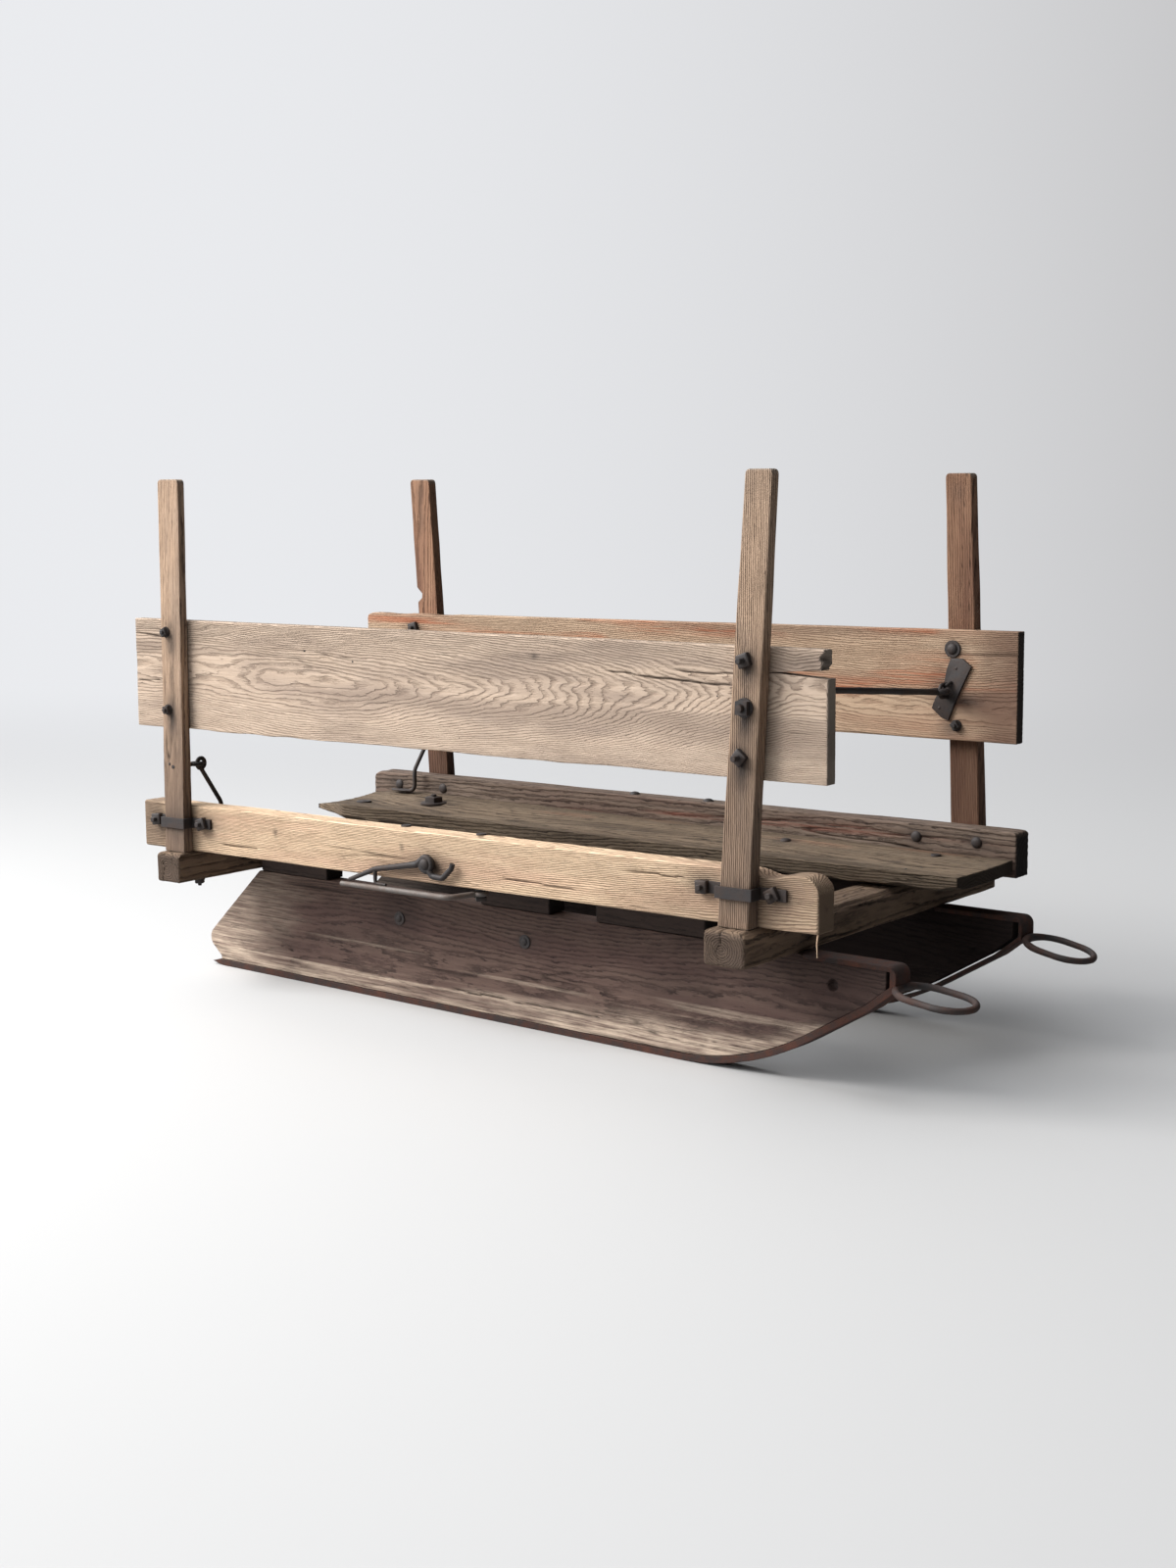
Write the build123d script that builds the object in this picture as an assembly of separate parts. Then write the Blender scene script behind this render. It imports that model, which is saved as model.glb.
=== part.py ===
from build123d import *
import os
from math import atan2, cos, radians, sin, tan

os.makedirs("parts", exist_ok=True)

# General clearances
REST_GAP = 0.2
CUT_OVERRUN = 5.0
PIN_CLEARANCE = 1.0

# Forged round bar is drawn with this many flats, and so are its loops and the bolts
LOOP_FLATS = 20
BAR_SIDES = 6
RING_SIDES = 8
BOLT_SIDES = 12

# Overall sizes that the lengths and widths of the other parts follow
RAIL_LENGTH = 1555.0
RACK_WIDTH = 689.0

# Row frame origin measured from the near runner heel
ORIGIN_X = 836.01
ORIGIN_Y = 257.53

# Runners
RUNNER_WIDTH = 46.0
RUNNER_PITCH_SHARE = 0.7068
RUNNER_PITCH = RUNNER_PITCH_SHARE * RACK_WIDTH
FAR_RUNNER_SETBACK = 35.0
NOSE_X = 1609.0
SEAT_HEIGHT = 212.0
SEAT_TILT = 0.40
TAIL_TOP_X = 118.0
TAIL_LOW_X = -46.0
TAIL_LOW_Z = 56.0
TAIL_R = 22.0
HEEL_X = -4.0
HEEL_Z = 20.0
NOSE_WOOD_GAP = 6.0
RUNNER_HOLE_X = 1490.0
RUNNER_HOLE_Z = 178.0
RUNNER_HOLE_R = 10.0
RUNNER_HOLE_DEPTH = 14.0

# Runner irons, one bar that is sole, bow, nose and top strap
SHOE_THICK = 12.0
SHOE_TABLE = [
    {"name": "near", "thick_share": 1.0, "slope_gap_share": 0},
    {"name": "far", "thick_share": 0.6, "slope_gap_share": 0.4},
]
SHOE_TIP_X = -30.0
SHOE_TIP_SHARE = 0.5
SHOE_HEEL_X = 2.0
STRAP_THICK = 8.0
STRAP_REACH = 178.0
BEND_START_X = 1175.0
BEND_R = 520.0
BEND_ANGLE = 31.0
SLOPE_LENGTH = 136.0
NOSE_FACE_LOW_Z = 184.0
NOSE_BEND_R = 16.0

# Draft rings forged to the noses
RING_BAR_R = 6.4
RING_R = 50.0
RING_TABLE = [
    {"name": "near", "straight_share": 0.66, "droop": 7.0, "height_share": 0.882, "bite_share": 0.8},
    {"name": "far", "straight_share": 0.46, "droop": 11.0, "height_share": 0.870, "bite_share": -0.6},
]

# Rack that stands on the runners and lies askew to them
RACK_X = -19.0
RACK_Y = -167.0
RACK_YAW = 2.335

# Side rails
RAIL_THICK = 51.0
RAIL_HEIGHT = 92.0
RAIL_ROUND = 3.0
RAIL_CORNER_R = 30.0
RAIL_TABLE = [
    {"name": "near", "start_share": -0.008, "length_share": 1.004, "height_share": 1.0,
     "tail_round_share": 0.15, "nose_round_share": 1.0},
    {"name": "far", "start_share": 0.017, "length_share": 1.0, "height_share": 0.924,
     "tail_round_share": 0.6, "nose_round_share": 0.3},
]

# Cross beams, placed along the rails
BEAM_HEIGHT = 59.0
BEAM_LENGTH_SHARE = 1.2917
BEAM_LENGTH = BEAM_LENGTH_SHARE * RACK_WIDTH
BEAM_WIDTH = 80.0
BEAM_ROUND = 4.0
BEAM_WEAR = 12.0
BEAM_END_WEAR = 9.0
BEAM_TABLE = [
    {"name": "rear", "start_share": 0.0437, "width_share": 0.8, "overhang_share": 0.0500},
    {"name": "front", "start_share": 0.8791, "width_share": 1.0, "overhang_share": 0.0646},
]

# Packing blocks on the runner tops, placed along the rails between the beams
BLOCK_ROUND = 3.0
BLOCK_TABLE = [
    {"name": "rear", "start_share": 0.0804, "length_share": 0.1210},
    {"name": "middle", "start_share": 0.4624, "length_share": 0.1068},
    {"name": "front", "start_share": 0.6379, "length_share": 0.1550},
]

# Deck board beside the far rail, cupped most at its rear end
DECK_START = 33.0
DECK_LENGTH_SHARE = 0.9916
DECK_LENGTH = DECK_LENGTH_SHARE * RAIL_LENGTH
DECK_WIDTH = 240.0
DECK_THICK = 33.0
DECK_CUP = 18.0
DECK_NOSE_CUP_SHARE = 0.16
DECK_ROUND = 10.0
DECK_TABLE = [
    {"name": "rear_far", "along_share": 0, "across_share": 1.0},
    {"name": "tip", "along_share": 0.004, "across_share": 0.19},
    {"name": "break", "along_share": 0.029, "across_share": 0.15},
    {"name": "break_end", "along_share": 0.078, "across_share": 0},
    {"name": "nose_near", "along_share": 1.0, "across_share": 0.10},
    {"name": "nose_far", "along_share": 1.0, "across_share": 1.0},
]

# Stakes, placed along the rails, from their feet to their heads
STAKE_HEIGHT = 733.0
STAKE_WIDTH = 60.0
STAKE_THICK = 33.0
STAKE_HEAD_R = 9.0
STAKE_TABLE = [
    {"name": "near_rear", "side": "near", "height_share": 0.989,
     "foot_share": 0.0646, "foot_width_share": 0.90, "foot_thick_share": 0.76,
     "head_share": 0.0666, "head_width_share": 0.95, "head_thick_share": 0.55},
    {"name": "near_front", "side": "near", "height_share": 1.0,
     "foot_share": 0.9042, "foot_width_share": 1.0, "foot_thick_share": 0.91,
     "head_share": 0.9299, "head_width_share": 0.87, "head_thick_share": 0.64},
    {"name": "far_rear", "side": "far", "height_share": 0.988,
     "foot_share": 0.1125, "foot_width_share": 0.92, "foot_thick_share": 0.82,
     "head_share": 0.0820, "head_width_share": 0.92, "head_thick_share": 0.73},
    {"name": "far_front", "side": "far", "height_share": 0.993,
     "foot_share": 0.9351, "foot_width_share": 1.0, "foot_thick_share": 1.0,
     "head_share": 0.9168, "head_width_share": 0.90, "head_thick_share": 0.78},
]

# Chip broken from the rear edge of the far rear stake
CHIP_DEPTH = 14.0
CHIP_TABLE = [
    {"height_share": 0.628, "depth_share": 0},
    {"height_share": 0.640, "depth_share": 0.85},
    {"height_share": 0.657, "depth_share": 1.0},
    {"height_share": 0.676, "depth_share": 0},
]

# Side boards
BOARD_THICK = 26.0
BOARD_ROUND = 3.0
BOARD_CORNER_R = 14.0
BOARD_LENGTH_SHARE = 1.0186
BOARD_LENGTH = BOARD_LENGTH_SHARE * RAIL_LENGTH
BOARD_LOW = 241.0
BOARD_HEIGHT = 213.0
BOARD_TABLE = [
    {"name": "near", "start_share": -0.0139, "length_share": 1.0,
     "tail_height_share": 1.0, "nose_height_share": 1.0},
    {"name": "far", "start_share": -0.0051, "length_share": 0.993,
     "tail_height_share": 0.904, "nose_height_share": 0.957},
]
SPLIT_LENGTH = 95.0
SPLIT_MOUTH = 13.0
SPLIT_HEIGHT_SHARE = 0.80

# Stake straps
STAKE_STRAP_THICK = 5.0
STAKE_STRAP_HEIGHT = 20.0
STAKE_STRAP_Z = 48.0
STAKE_STRAP_EAR = 52.0

# Tie rod between the side boards, through the near front stake
TIE_ROD_R = 6.3
TIE_ROD_NEAR_Z = 358.0
TIE_ROD_FAR_Z = 333.0
TIE_ROD_BOW_Z = 373.0
TIE_ROD_BOW_SHARE = 0.22
TIE_ROD_BEND_R = 200.0
TIE_EYE_R = 13.0
TIE_STUB = 20.0
TIE_NUT_WIDTH = 22.0
TIE_NUT_HEIGHT = 9.0
TIE_WASHER_R = 16.0
TIE_WASHER_THICK = 3.0

# Bracket plate and staple on the far board
PLATE_LENGTH = 107.0
PLATE_WIDTH = 40.0
PLATE_THICK = 5.0
PLATE_LEAN = 22.5
PLATE_OFFSET = 7.0
PLATE_RISE = 4.0
PLATE_CORNER = 13.0
STAPLE_R = 3.0
STAPLE_REACH = 26.0
STAPLE_HALF = 11.0
STAPLE_BEND_SHARE = 0.7

# Stake braces with their eyebolts
BRACE_BAR_R = 4.5
BRACE_EYE_R = 10.0
BRACE_EYE_Z = 168.0
BRACE_BEND_R = 24.0
BRACE_TURN_R = 14.0
BRACE_FOOT_LENGTH = 52.0
BRACE_FOOT_WIDTH = 22.0
BRACE_FOOT_THICK = 6.0
FOOT_NECK_SHARE = 0.25
FOOT_TAPER_SHARE = 0.62
FOOT_TIP_SHARE = 0.15
EYEBOLT_EYE_R = 11.0
EYEBOLT_BAR_R = 4.0
BRACE_TABLE = [
    {"name": "near", "reach_share": 0.232, "lean_share": 0.31, "bend_share": 0.50,
     "foot_turn": -90.0},
    {"name": "far", "reach_share": 0.095, "lean_share": 0.268, "bend_share": 0.583,
     "foot_turn": 0},
]

# Latch on the near rail, a forged arm with a prong and a curled tail
LATCH_X = 740.0
LATCH_Z = 37.0
LATCH_THICK = 9.0
LATCH_STANDOFF = 6.0
LATCH_EYE_R = 17.0
LATCH_BAR_R = 4.5
LATCH_ARM_LENGTH = 187.0
LATCH_ARM_DROP = 47.0
LATCH_KNEE_DROP_SHARE = 0.45
LATCH_KNEE_R = 40.0
PRONG_PLACE_SHARE = 0.66
PRONG_LENGTH = 27.0
PRONG_TOE = 26.0
PRONG_BEND_R = 6.0
TAIL_LENGTH = 64.0
TAIL_SAG = 22.0
TAIL_RISE = 6.0
TAIL_BEND_R = 10.0
TAIL_START_SHARE = 0.2
TAIL_TURN_SHARE = 0.6
LATCH_PIN_R = 6.0
LATCH_HEAD_R = 12.0
LATCH_HEAD_THICK = 7.0
LATCH_PIN_BITE = 30.0

# Swing bar under the near rail
SWING_PIVOT_X = 840.0
SWING_PIVOT_Y = 22.0
SWING_REACH = 66.0
SWING_SETBACK = 20.0
SWING_ARM_LENGTH = 257.0
SWING_BAR_R = 5.5
SWING_BEND_R = 20.0
SWING_THICK = 10.0
SWING_DROP = 6.0
SWING_EYE_R = 15.0
SWING_PIN_R = 5.5
SWING_HEAD_R = 11.0
SWING_HEAD_THICK = 7.0
SWING_PIN_BITE = 30.0


def seat_height(x):
    return SEAT_HEIGHT + x * tan(radians(SEAT_TILT))


row_shift = Location((-ORIGIN_X, -ORIGIN_Y, 0))
runner_seat = Location((0, 0, SEAT_HEIGHT), (0, -SEAT_TILT, 0))
rack_z = seat_height(RACK_X) + BEAM_HEIGHT + REST_GAP
rack_frame = Location((RACK_X, RACK_Y, rack_z), (0, -SEAT_TILT, RACK_YAW))
nodes = {}


def add_node(name, shape, frame):
    nodes[name] = row_shift * frame * shape


def slab(x0, x1, y0, y1, z0, z1):
    box = Box(x1 - x0, y1 - y0, z1 - z0, align=(Align.MIN, Align.MIN, Align.MIN))
    return Pos(x0, y0, z0) * box


def rod_between(start, end, radius):
    direction = Vector(*end) - Vector(*start)
    plane = Plane(origin=start, z_dir=direction)
    return extrude(plane * Circle(radius), amount=direction.length)


def bar_section(radius, sides=BAR_SIDES):
    return RegularPolygon(radius, sides)


def bar_between(start, end, radius, sides=BAR_SIDES):
    direction = Vector(*end) - Vector(*start)
    plane = Plane(origin=start, z_dir=direction)
    return extrude(plane * bar_section(radius, sides), amount=direction.length)


def bar_along(path, radius):
    start = Plane(origin=path @ 0, z_dir=path % 0)
    return sweep(start * bar_section(radius), path=path)


# The bar starts and ends square to the arc that it follows
def bar_loop(loop_radius, bar_radius, arc, sides=BAR_SIDES):
    count = round(LOOP_FLATS * arc / 360)
    step = radians(arc / count)
    corner_r = loop_radius / cos(step / 2)
    turns = [step * (k + 0.5) for k in range(count)]
    corners = [(corner_r * cos(turn), corner_r * sin(turn)) for turn in turns]
    end = (loop_radius * cos(radians(arc)), loop_radius * sin(radians(arc)))
    start = Plane(origin=(loop_radius, 0, 0), x_dir=(1, 0, 0), z_dir=(0, 1, 0))
    path = Polyline((loop_radius, 0), *corners, end)
    return sweep(start * bar_section(bar_radius, sides), path=path, transition=Transition.RIGHT)


def bar_eye(loop_radius, bar_radius):
    half = bar_loop(loop_radius, bar_radius, 180)
    return half + Rot(0, 0, 180) * half


def shoe_points(inset):
    angle = radians(BEND_ANGLE)
    bend_r = BEND_R - inset
    start = (BEND_START_X, inset)
    half = angle / 2
    middle = (BEND_START_X + bend_r * sin(half), BEND_R - bend_r * cos(half))
    end = (BEND_START_X + bend_r * sin(angle), BEND_R - bend_r * cos(angle))
    knee_x = BEND_START_X + BEND_R * sin(angle) + SLOPE_LENGTH * cos(angle)
    knee_z = BEND_R - BEND_R * cos(angle) + SLOPE_LENGTH * sin(angle)
    rise = atan2(NOSE_FACE_LOW_Z - knee_z, NOSE_X - knee_x)
    mitre = (angle + rise) / 2
    knee_inset = inset / cos((rise - angle) / 2)
    knee = (knee_x - knee_inset * sin(mitre), knee_z + knee_inset * cos(mitre))
    nose_x = NOSE_X - inset
    nose = (nose_x, knee[1] + (nose_x - knee[0]) * tan(rise))
    return {"start": start, "middle": middle, "end": end, "knee": knee, "nose": nose}


def profile(edges, width):
    face = make_face(Plane.XZ * Wire(edges))
    return extrude(face, amount=width, dir=(0, 1, 0))


def chain(points):
    return [Line(a, b) for a, b in zip(points, points[1:])]


# The wood stands off the sloping iron by the slope gap where it has worn away
def make_runner(with_hole, setback, shoe_thick, slope_gap):
    flat = shoe_points(shoe_thick)
    curve = shoe_points(shoe_thick + slope_gap)
    middle = shoe_points(shoe_thick + slope_gap / 2)["middle"]
    wood_nose_x = NOSE_X - SHOE_THICK - NOSE_WOOD_GAP
    rise = (curve["nose"][1] - curve["knee"][1]) / (curve["nose"][0] - curve["knee"][0])
    wood_nose_z = curve["knee"][1] + (wood_nose_x - curve["knee"][0]) * rise
    step_x = NOSE_X - STRAP_REACH
    step_z = seat_height(-setback + step_x)
    heel = (HEEL_X, shoe_thick)
    top = [
        curve["end"],
        curve["knee"],
        (wood_nose_x, wood_nose_z),
        (wood_nose_x, seat_height(-setback + wood_nose_x) - STRAP_THICK),
        (step_x, step_z - STRAP_THICK),
        (step_x, step_z),
        (TAIL_TOP_X, seat_height(-setback + TAIL_TOP_X)),
        (TAIL_LOW_X, TAIL_LOW_Z),
        (HEEL_X, HEEL_Z),
        heel,
    ]
    edges = [Line(heel, flat["start"])]
    edges += [ThreePointArc(flat["start"], middle, curve["end"])]
    edges += chain(top)
    solid = profile(edges, RUNNER_WIDTH)
    tail_edge = solid.edges().filter_by(Axis.Y).sort_by(Axis.X)[0]
    solid = fillet(tail_edge, TAIL_R)
    if with_hole:
        drill = Cylinder(RUNNER_HOLE_R, RUNNER_HOLE_DEPTH * 2)
        solid -= Pos(RUNNER_HOLE_X, 0, RUNNER_HOLE_Z) * Rot(90, 0, 0) * drill
    return solid


def make_shoe(setback, shoe_thick):
    outer = shoe_points(0)
    inner = shoe_points(shoe_thick)
    strap_end = NOSE_X - STRAP_REACH
    inner_nose_x = NOSE_X - shoe_thick
    inner_nose_top = (inner_nose_x, seat_height(-setback + inner_nose_x) - STRAP_THICK)
    tip = (SHOE_TIP_X, shoe_thick * SHOE_TIP_SHARE)
    heel = (SHOE_HEEL_X, 0)
    front = [
        outer["end"],
        outer["knee"],
        outer["nose"],
        (NOSE_X, seat_height(-setback + NOSE_X)),
        (strap_end, seat_height(-setback + strap_end)),
        (strap_end, seat_height(-setback + strap_end) - STRAP_THICK),
        inner_nose_top,
        inner["nose"],
        inner["knee"],
        inner["end"],
    ]
    edges = chain([tip, heel, outer["start"]])
    edges += [ThreePointArc(outer["start"], outer["middle"], outer["end"])]
    edges += chain(front)
    edges += [ThreePointArc(inner["end"], inner["middle"], inner["start"])]
    edges += chain([inner["start"], (HEEL_X, shoe_thick), tip])
    iron = profile(edges, RUNNER_WIDTH)
    nose_edges = iron.edges().filter_by(Axis.Y).group_by(Axis.X)[-1]
    return fillet(nose_edges.sort_by(Axis.Z)[-1], NOSE_BEND_R)


def make_ring(straight, droop, bite):
    reach = RING_R * 2 + straight
    bow = bar_loop(RING_R, RING_BAR_R, 180, RING_SIDES)
    side = extrude(Plane.YZ * bar_section(RING_BAR_R, RING_SIDES), amount=straight)
    ring = Pos(straight / 2, 0, 0) * Rot(0, 0, -90) * bow
    ring += Pos(-straight / 2, 0, 0) * Rot(0, 0, 90) * bow
    ring += Pos(-straight / 2, RING_R, 0) * side
    ring += Pos(-straight / 2, -RING_R, 0) * side
    apex = RING_R + straight / 2
    ring = Pos(-bite, 0, 0) * Rot(0, droop, 0) * Pos(apex, 0, 0) * ring
    return ring - slab(-reach, 0, -reach, reach, -reach, reach)


side_frames = {
    "near": Location((0, 0, 0)),
    "far": Location((-FAR_RUNNER_SETBACK, RUNNER_PITCH, 0)),
}
for row in SHOE_TABLE:
    side = row["name"]
    setback = FAR_RUNNER_SETBACK if side == "far" else 0
    shoe_thick = row["thick_share"] * SHOE_THICK
    slope_gap = row["slope_gap_share"] * SHOE_THICK
    runner = make_runner(side == "near", setback, shoe_thick, slope_gap)
    add_node(f"runner_{side}", runner, side_frames[side])
    add_node(f"shoe_{side}", make_shoe(setback, shoe_thick), side_frames[side])
for row in RING_TABLE:
    ring_z = row["height_share"] * SEAT_HEIGHT
    ring_place = side_frames[row["name"]] * Location((NOSE_X, RUNNER_WIDTH / 2, ring_z))
    ring = make_ring(row["straight_share"] * RING_R, row["droop"], row["bite_share"] * RING_BAR_R)
    add_node(f"draft_ring_{row['name']}", ring, ring_place)

# Blocks lie along the runner tops between the beams
for side in side_frames:
    y0 = RUNNER_PITCH if side == "far" else 0
    for row in BLOCK_TABLE:
        start = row["start_share"] * RAIL_LENGTH
        block = slab(start, start + row["length_share"] * RAIL_LENGTH, y0, y0 + RUNNER_WIDTH,
                     REST_GAP, BEAM_HEIGHT)
        block = chamfer(block.edges().filter_by(Axis.X), BLOCK_ROUND)
        add_node(f"block_{row['name']}_{side}", block, runner_seat)

# Cross beams carry the rack, their near ends worn and the front one's top edge too
for row in BEAM_TABLE:
    start = row["start_share"] * RAIL_LENGTH
    overhang = row["overhang_share"] * BEAM_LENGTH
    beam = slab(start, start + row["width_share"] * BEAM_WIDTH, -overhang,
                BEAM_LENGTH - overhang, -BEAM_HEIGHT, 0)
    end_edges = beam.edges().filter_by(Axis.X).group_by(Axis.Z)[-1]
    beam = chamfer(end_edges.sort_by(Axis.Y)[0], BEAM_END_WEAR)
    if row["name"] == "front":
        top_edges = beam.edges().filter_by(Axis.Y).group_by(Axis.Z)[-1]
        beam = chamfer(top_edges.sort_by(Axis.X)[-1], BEAM_WEAR)
    beam = fillet(beam.edges().filter_by(Axis.Y), BEAM_ROUND)
    add_node(f"beam_{row['name']}", beam, rack_frame)

# Side rails
for row in RAIL_TABLE:
    side = row["name"]
    start = row["start_share"] * RAIL_LENGTH
    y0 = REST_GAP if side == "near" else RACK_WIDTH - RAIL_THICK
    y1 = RAIL_THICK if side == "near" else RACK_WIDTH
    rail_end = start + row["length_share"] * RAIL_LENGTH
    rail = slab(start, rail_end, y0, y1, REST_GAP, row["height_share"] * RAIL_HEIGHT)
    for end, column in ((0, "tail_round_share"), (-1, "nose_round_share")):
        top_edges = rail.edges().filter_by(Axis.Y).group_by(Axis.Z)[-1]
        rail = fillet(top_edges.sort_by(Axis.X)[end], row[column] * RAIL_CORNER_R)
    rail = chamfer(rail.edges().filter_by(Axis.X), RAIL_ROUND)
    if side == "near":
        pin_hole = Cylinder(LATCH_PIN_R, LATCH_PIN_BITE * 2)
        rail -= Pos(LATCH_X, 0, LATCH_Z) * Rot(90, 0, 0) * pin_hole
        bolt_hole = Cylinder(SWING_PIN_R, SWING_PIN_BITE * 2)
        rail -= Pos(SWING_PIVOT_X, SWING_PIVOT_Y, 0) * bolt_hole
    add_node(f"rail_{side}", rail, rack_frame)

# Deck board, its section cupped less and less toward the front, its rear corner broken
deck_y1 = RACK_WIDTH - RAIL_THICK - REST_GAP
deck_y0 = deck_y1 - DECK_WIDTH
deck_middle_y = (deck_y0 + deck_y1) / 2


def deck_section(x, cup):
    plane = Plane(origin=(x, 0, REST_GAP), x_dir=(0, 1, 0), z_dir=(1, 0, 0))
    low = ThreePointArc((deck_y0, cup), (deck_middle_y, 0), (deck_y1, cup))
    high = ThreePointArc(
        (deck_y1, cup + DECK_THICK), (deck_middle_y, DECK_THICK), (deck_y0, cup + DECK_THICK))
    sides = [Line(low @ 1, high @ 0), Line(high @ 1, low @ 0)]
    return plane * make_face([low, sides[0], high, sides[1]])


def deck_rise(x, y):
    along = (x - DECK_START) / DECK_LENGTH
    cup = DECK_CUP * (1 + (DECK_NOSE_CUP_SHARE - 1) * along)
    return DECK_THICK + cup * ((y - deck_middle_y) / (DECK_WIDTH / 2)) ** 2


deck_points = [
    (DECK_START + row["along_share"] * DECK_LENGTH, deck_y0 + row["across_share"] * DECK_WIDTH)
    for row in DECK_TABLE]
deck_outline = extrude(make_face(Polyline(*deck_points, close=True)), amount=RAIL_HEIGHT)
deck_corners = deck_outline.edges().filter_by(Axis.Z).sort_by(Axis.X)
deck_outline = fillet([deck_corners[1], deck_corners[-2:].sort_by(Axis.Y)[0]], DECK_ROUND)
deck = loft([
    deck_section(DECK_START, DECK_CUP),
    deck_section(DECK_START + DECK_LENGTH, DECK_CUP * DECK_NOSE_CUP_SHARE)], ruled=True)
add_node("deck_board", deck & deck_outline, rack_frame)


# Stakes taper and lean, their inner faces flat on rail and board
def stake_at(row, height):
    part = height / (row["height_share"] * STAKE_HEIGHT)

    def between(column):
        foot = row[f"foot{column}_share"]
        return foot + (row[f"head{column}_share"] - foot) * part

    return (between("") * RAIL_LENGTH, between("_width") * STAKE_WIDTH,
            between("_thick") * STAKE_THICK)


def side_y(side, distance):
    if side == "near":
        return -distance
    return RACK_WIDTH + REST_GAP + distance


def make_stake(row):
    top = row["height_share"] * STAKE_HEIGHT
    foot, foot_w, foot_t = stake_at(row, 0)
    head, head_w, head_t = stake_at(row, top)
    side_view = make_face(Plane.XZ * Polyline(
        (foot - foot_w / 2, REST_GAP),
        (foot + foot_w / 2, REST_GAP),
        (head + head_w / 2, top),
        (head - head_w / 2, top),
        close=True))
    end_view = make_face(Plane.YZ * Polyline(
        (side_y(row["side"], 0), REST_GAP),
        (side_y(row["side"], foot_t), REST_GAP),
        (side_y(row["side"], head_t), top),
        (side_y(row["side"], 0), top),
        close=True))
    wide = Pos(0, -RACK_WIDTH, 0) * extrude(side_view, amount=RACK_WIDTH * 3, dir=(0, 1, 0))
    wide = fillet(wide.edges().filter_by(Axis.Y).group_by(Axis.Z)[-1], STAKE_HEAD_R)
    deep = extrude(end_view, amount=foot + head + foot_w, dir=(1, 0, 0))
    return wide & deep


def make_chip(row):
    points = []
    for place in CHIP_TABLE:
        height = place["height_share"] * STAKE_HEIGHT
        centre, width, thick = stake_at(row, height)
        points.append((centre - width / 2 + place["depth_share"] * CHIP_DEPTH, height))
    chip = make_face(Plane.XZ * Polyline(*points, close=True))
    return extrude(chip, amount=RACK_WIDTH * 2, dir=(0, 1, 0))


def strap_outline(row):
    centre = stake_at(row, STAKE_STRAP_Z + STAKE_STRAP_HEIGHT / 2)[0]
    width = max(stake_at(row, STAKE_STRAP_Z + h)[1] for h in (0, STAKE_STRAP_HEIGHT))
    thick = stake_at(row, STAKE_STRAP_Z)[2]
    travel = abs(row["head_share"] - row["foot_share"]) * RAIL_LENGTH
    lean = travel / (row["height_share"] * STAKE_HEIGHT) * STAKE_STRAP_HEIGHT / 2
    half = width / 2 + lean + REST_GAP
    back = side_y(row["side"], thick + REST_GAP)
    wall = side_y(row["side"], REST_GAP)
    step = STAKE_STRAP_THICK if row["side"] == "far" else -STAKE_STRAP_THICK
    ear = half + STAKE_STRAP_EAR
    outer = half + STAKE_STRAP_THICK
    points = [
        (centre - ear, wall),
        (centre - half, wall),
        (centre - half, back),
        (centre + half, back),
        (centre + half, wall),
        (centre + ear, wall),
        (centre + ear, wall + step),
        (centre + outer, wall + step),
        (centre + outer, back + step),
        (centre - outer, back + step),
        (centre - outer, wall + step),
        (centre - ear, wall + step),
    ]
    return make_face(Polyline(*points, close=True))


stake_rows = {row["name"]: row for row in STAKE_TABLE}
stakes = {}
for name, row in stake_rows.items():
    stakes[name] = make_stake(row)
    strap = Pos(0, 0, STAKE_STRAP_Z) * extrude(strap_outline(row), amount=STAKE_STRAP_HEIGHT)
    add_node(f"stake_strap_{name}", strap, rack_frame)
stakes["far_rear"] -= make_chip(stake_rows["far_rear"])

# Side boards, the near one split from its front end, the far one taper sawn
boards = {}
for row in BOARD_TABLE:
    y0 = REST_GAP if row["name"] == "near" else RACK_WIDTH - BOARD_THICK
    start = row["start_share"] * RAIL_LENGTH
    end = start + row["length_share"] * BOARD_LENGTH
    board_face = make_face(Plane.XZ * Polyline(
        (start, BOARD_LOW),
        (end, BOARD_LOW),
        (end, BOARD_LOW + row["nose_height_share"] * BOARD_HEIGHT),
        (start, BOARD_LOW + row["tail_height_share"] * BOARD_HEIGHT),
        close=True))
    board = Pos(0, y0, 0) * extrude(board_face, amount=BOARD_THICK, dir=(0, 1, 0))
    if row["name"] == "far":
        tail_edges = board.edges().filter_by(Axis.Y).group_by(Axis.X)[0]
        board = fillet(tail_edges.sort_by(Axis.Z)[-1], BOARD_CORNER_R)
    board = chamfer(board.faces().sort_by(Axis.Y)[0].edges().group_by(Axis.Z)[-1], BOARD_ROUND)
    board = chamfer(board.faces().sort_by(Axis.Y)[-1].edges().group_by(Axis.Z)[-1], BOARD_ROUND)
    if row["name"] == "near":
        split_z = BOARD_LOW + BOARD_HEIGHT * SPLIT_HEIGHT_SHARE
        split = make_face(Plane.XZ * Polyline(
            (end - SPLIT_LENGTH, split_z),
            (end + CUT_OVERRUN, split_z - SPLIT_MOUTH / 2),
            (end + CUT_OVERRUN, split_z + SPLIT_MOUTH / 2),
            close=True))
        board -= Pos(0, -CUT_OVERRUN, 0) * extrude(
            split, amount=BOARD_THICK + CUT_OVERRUN * 2, dir=(0, 1, 0))
    boards[row["name"]] = board

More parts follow.
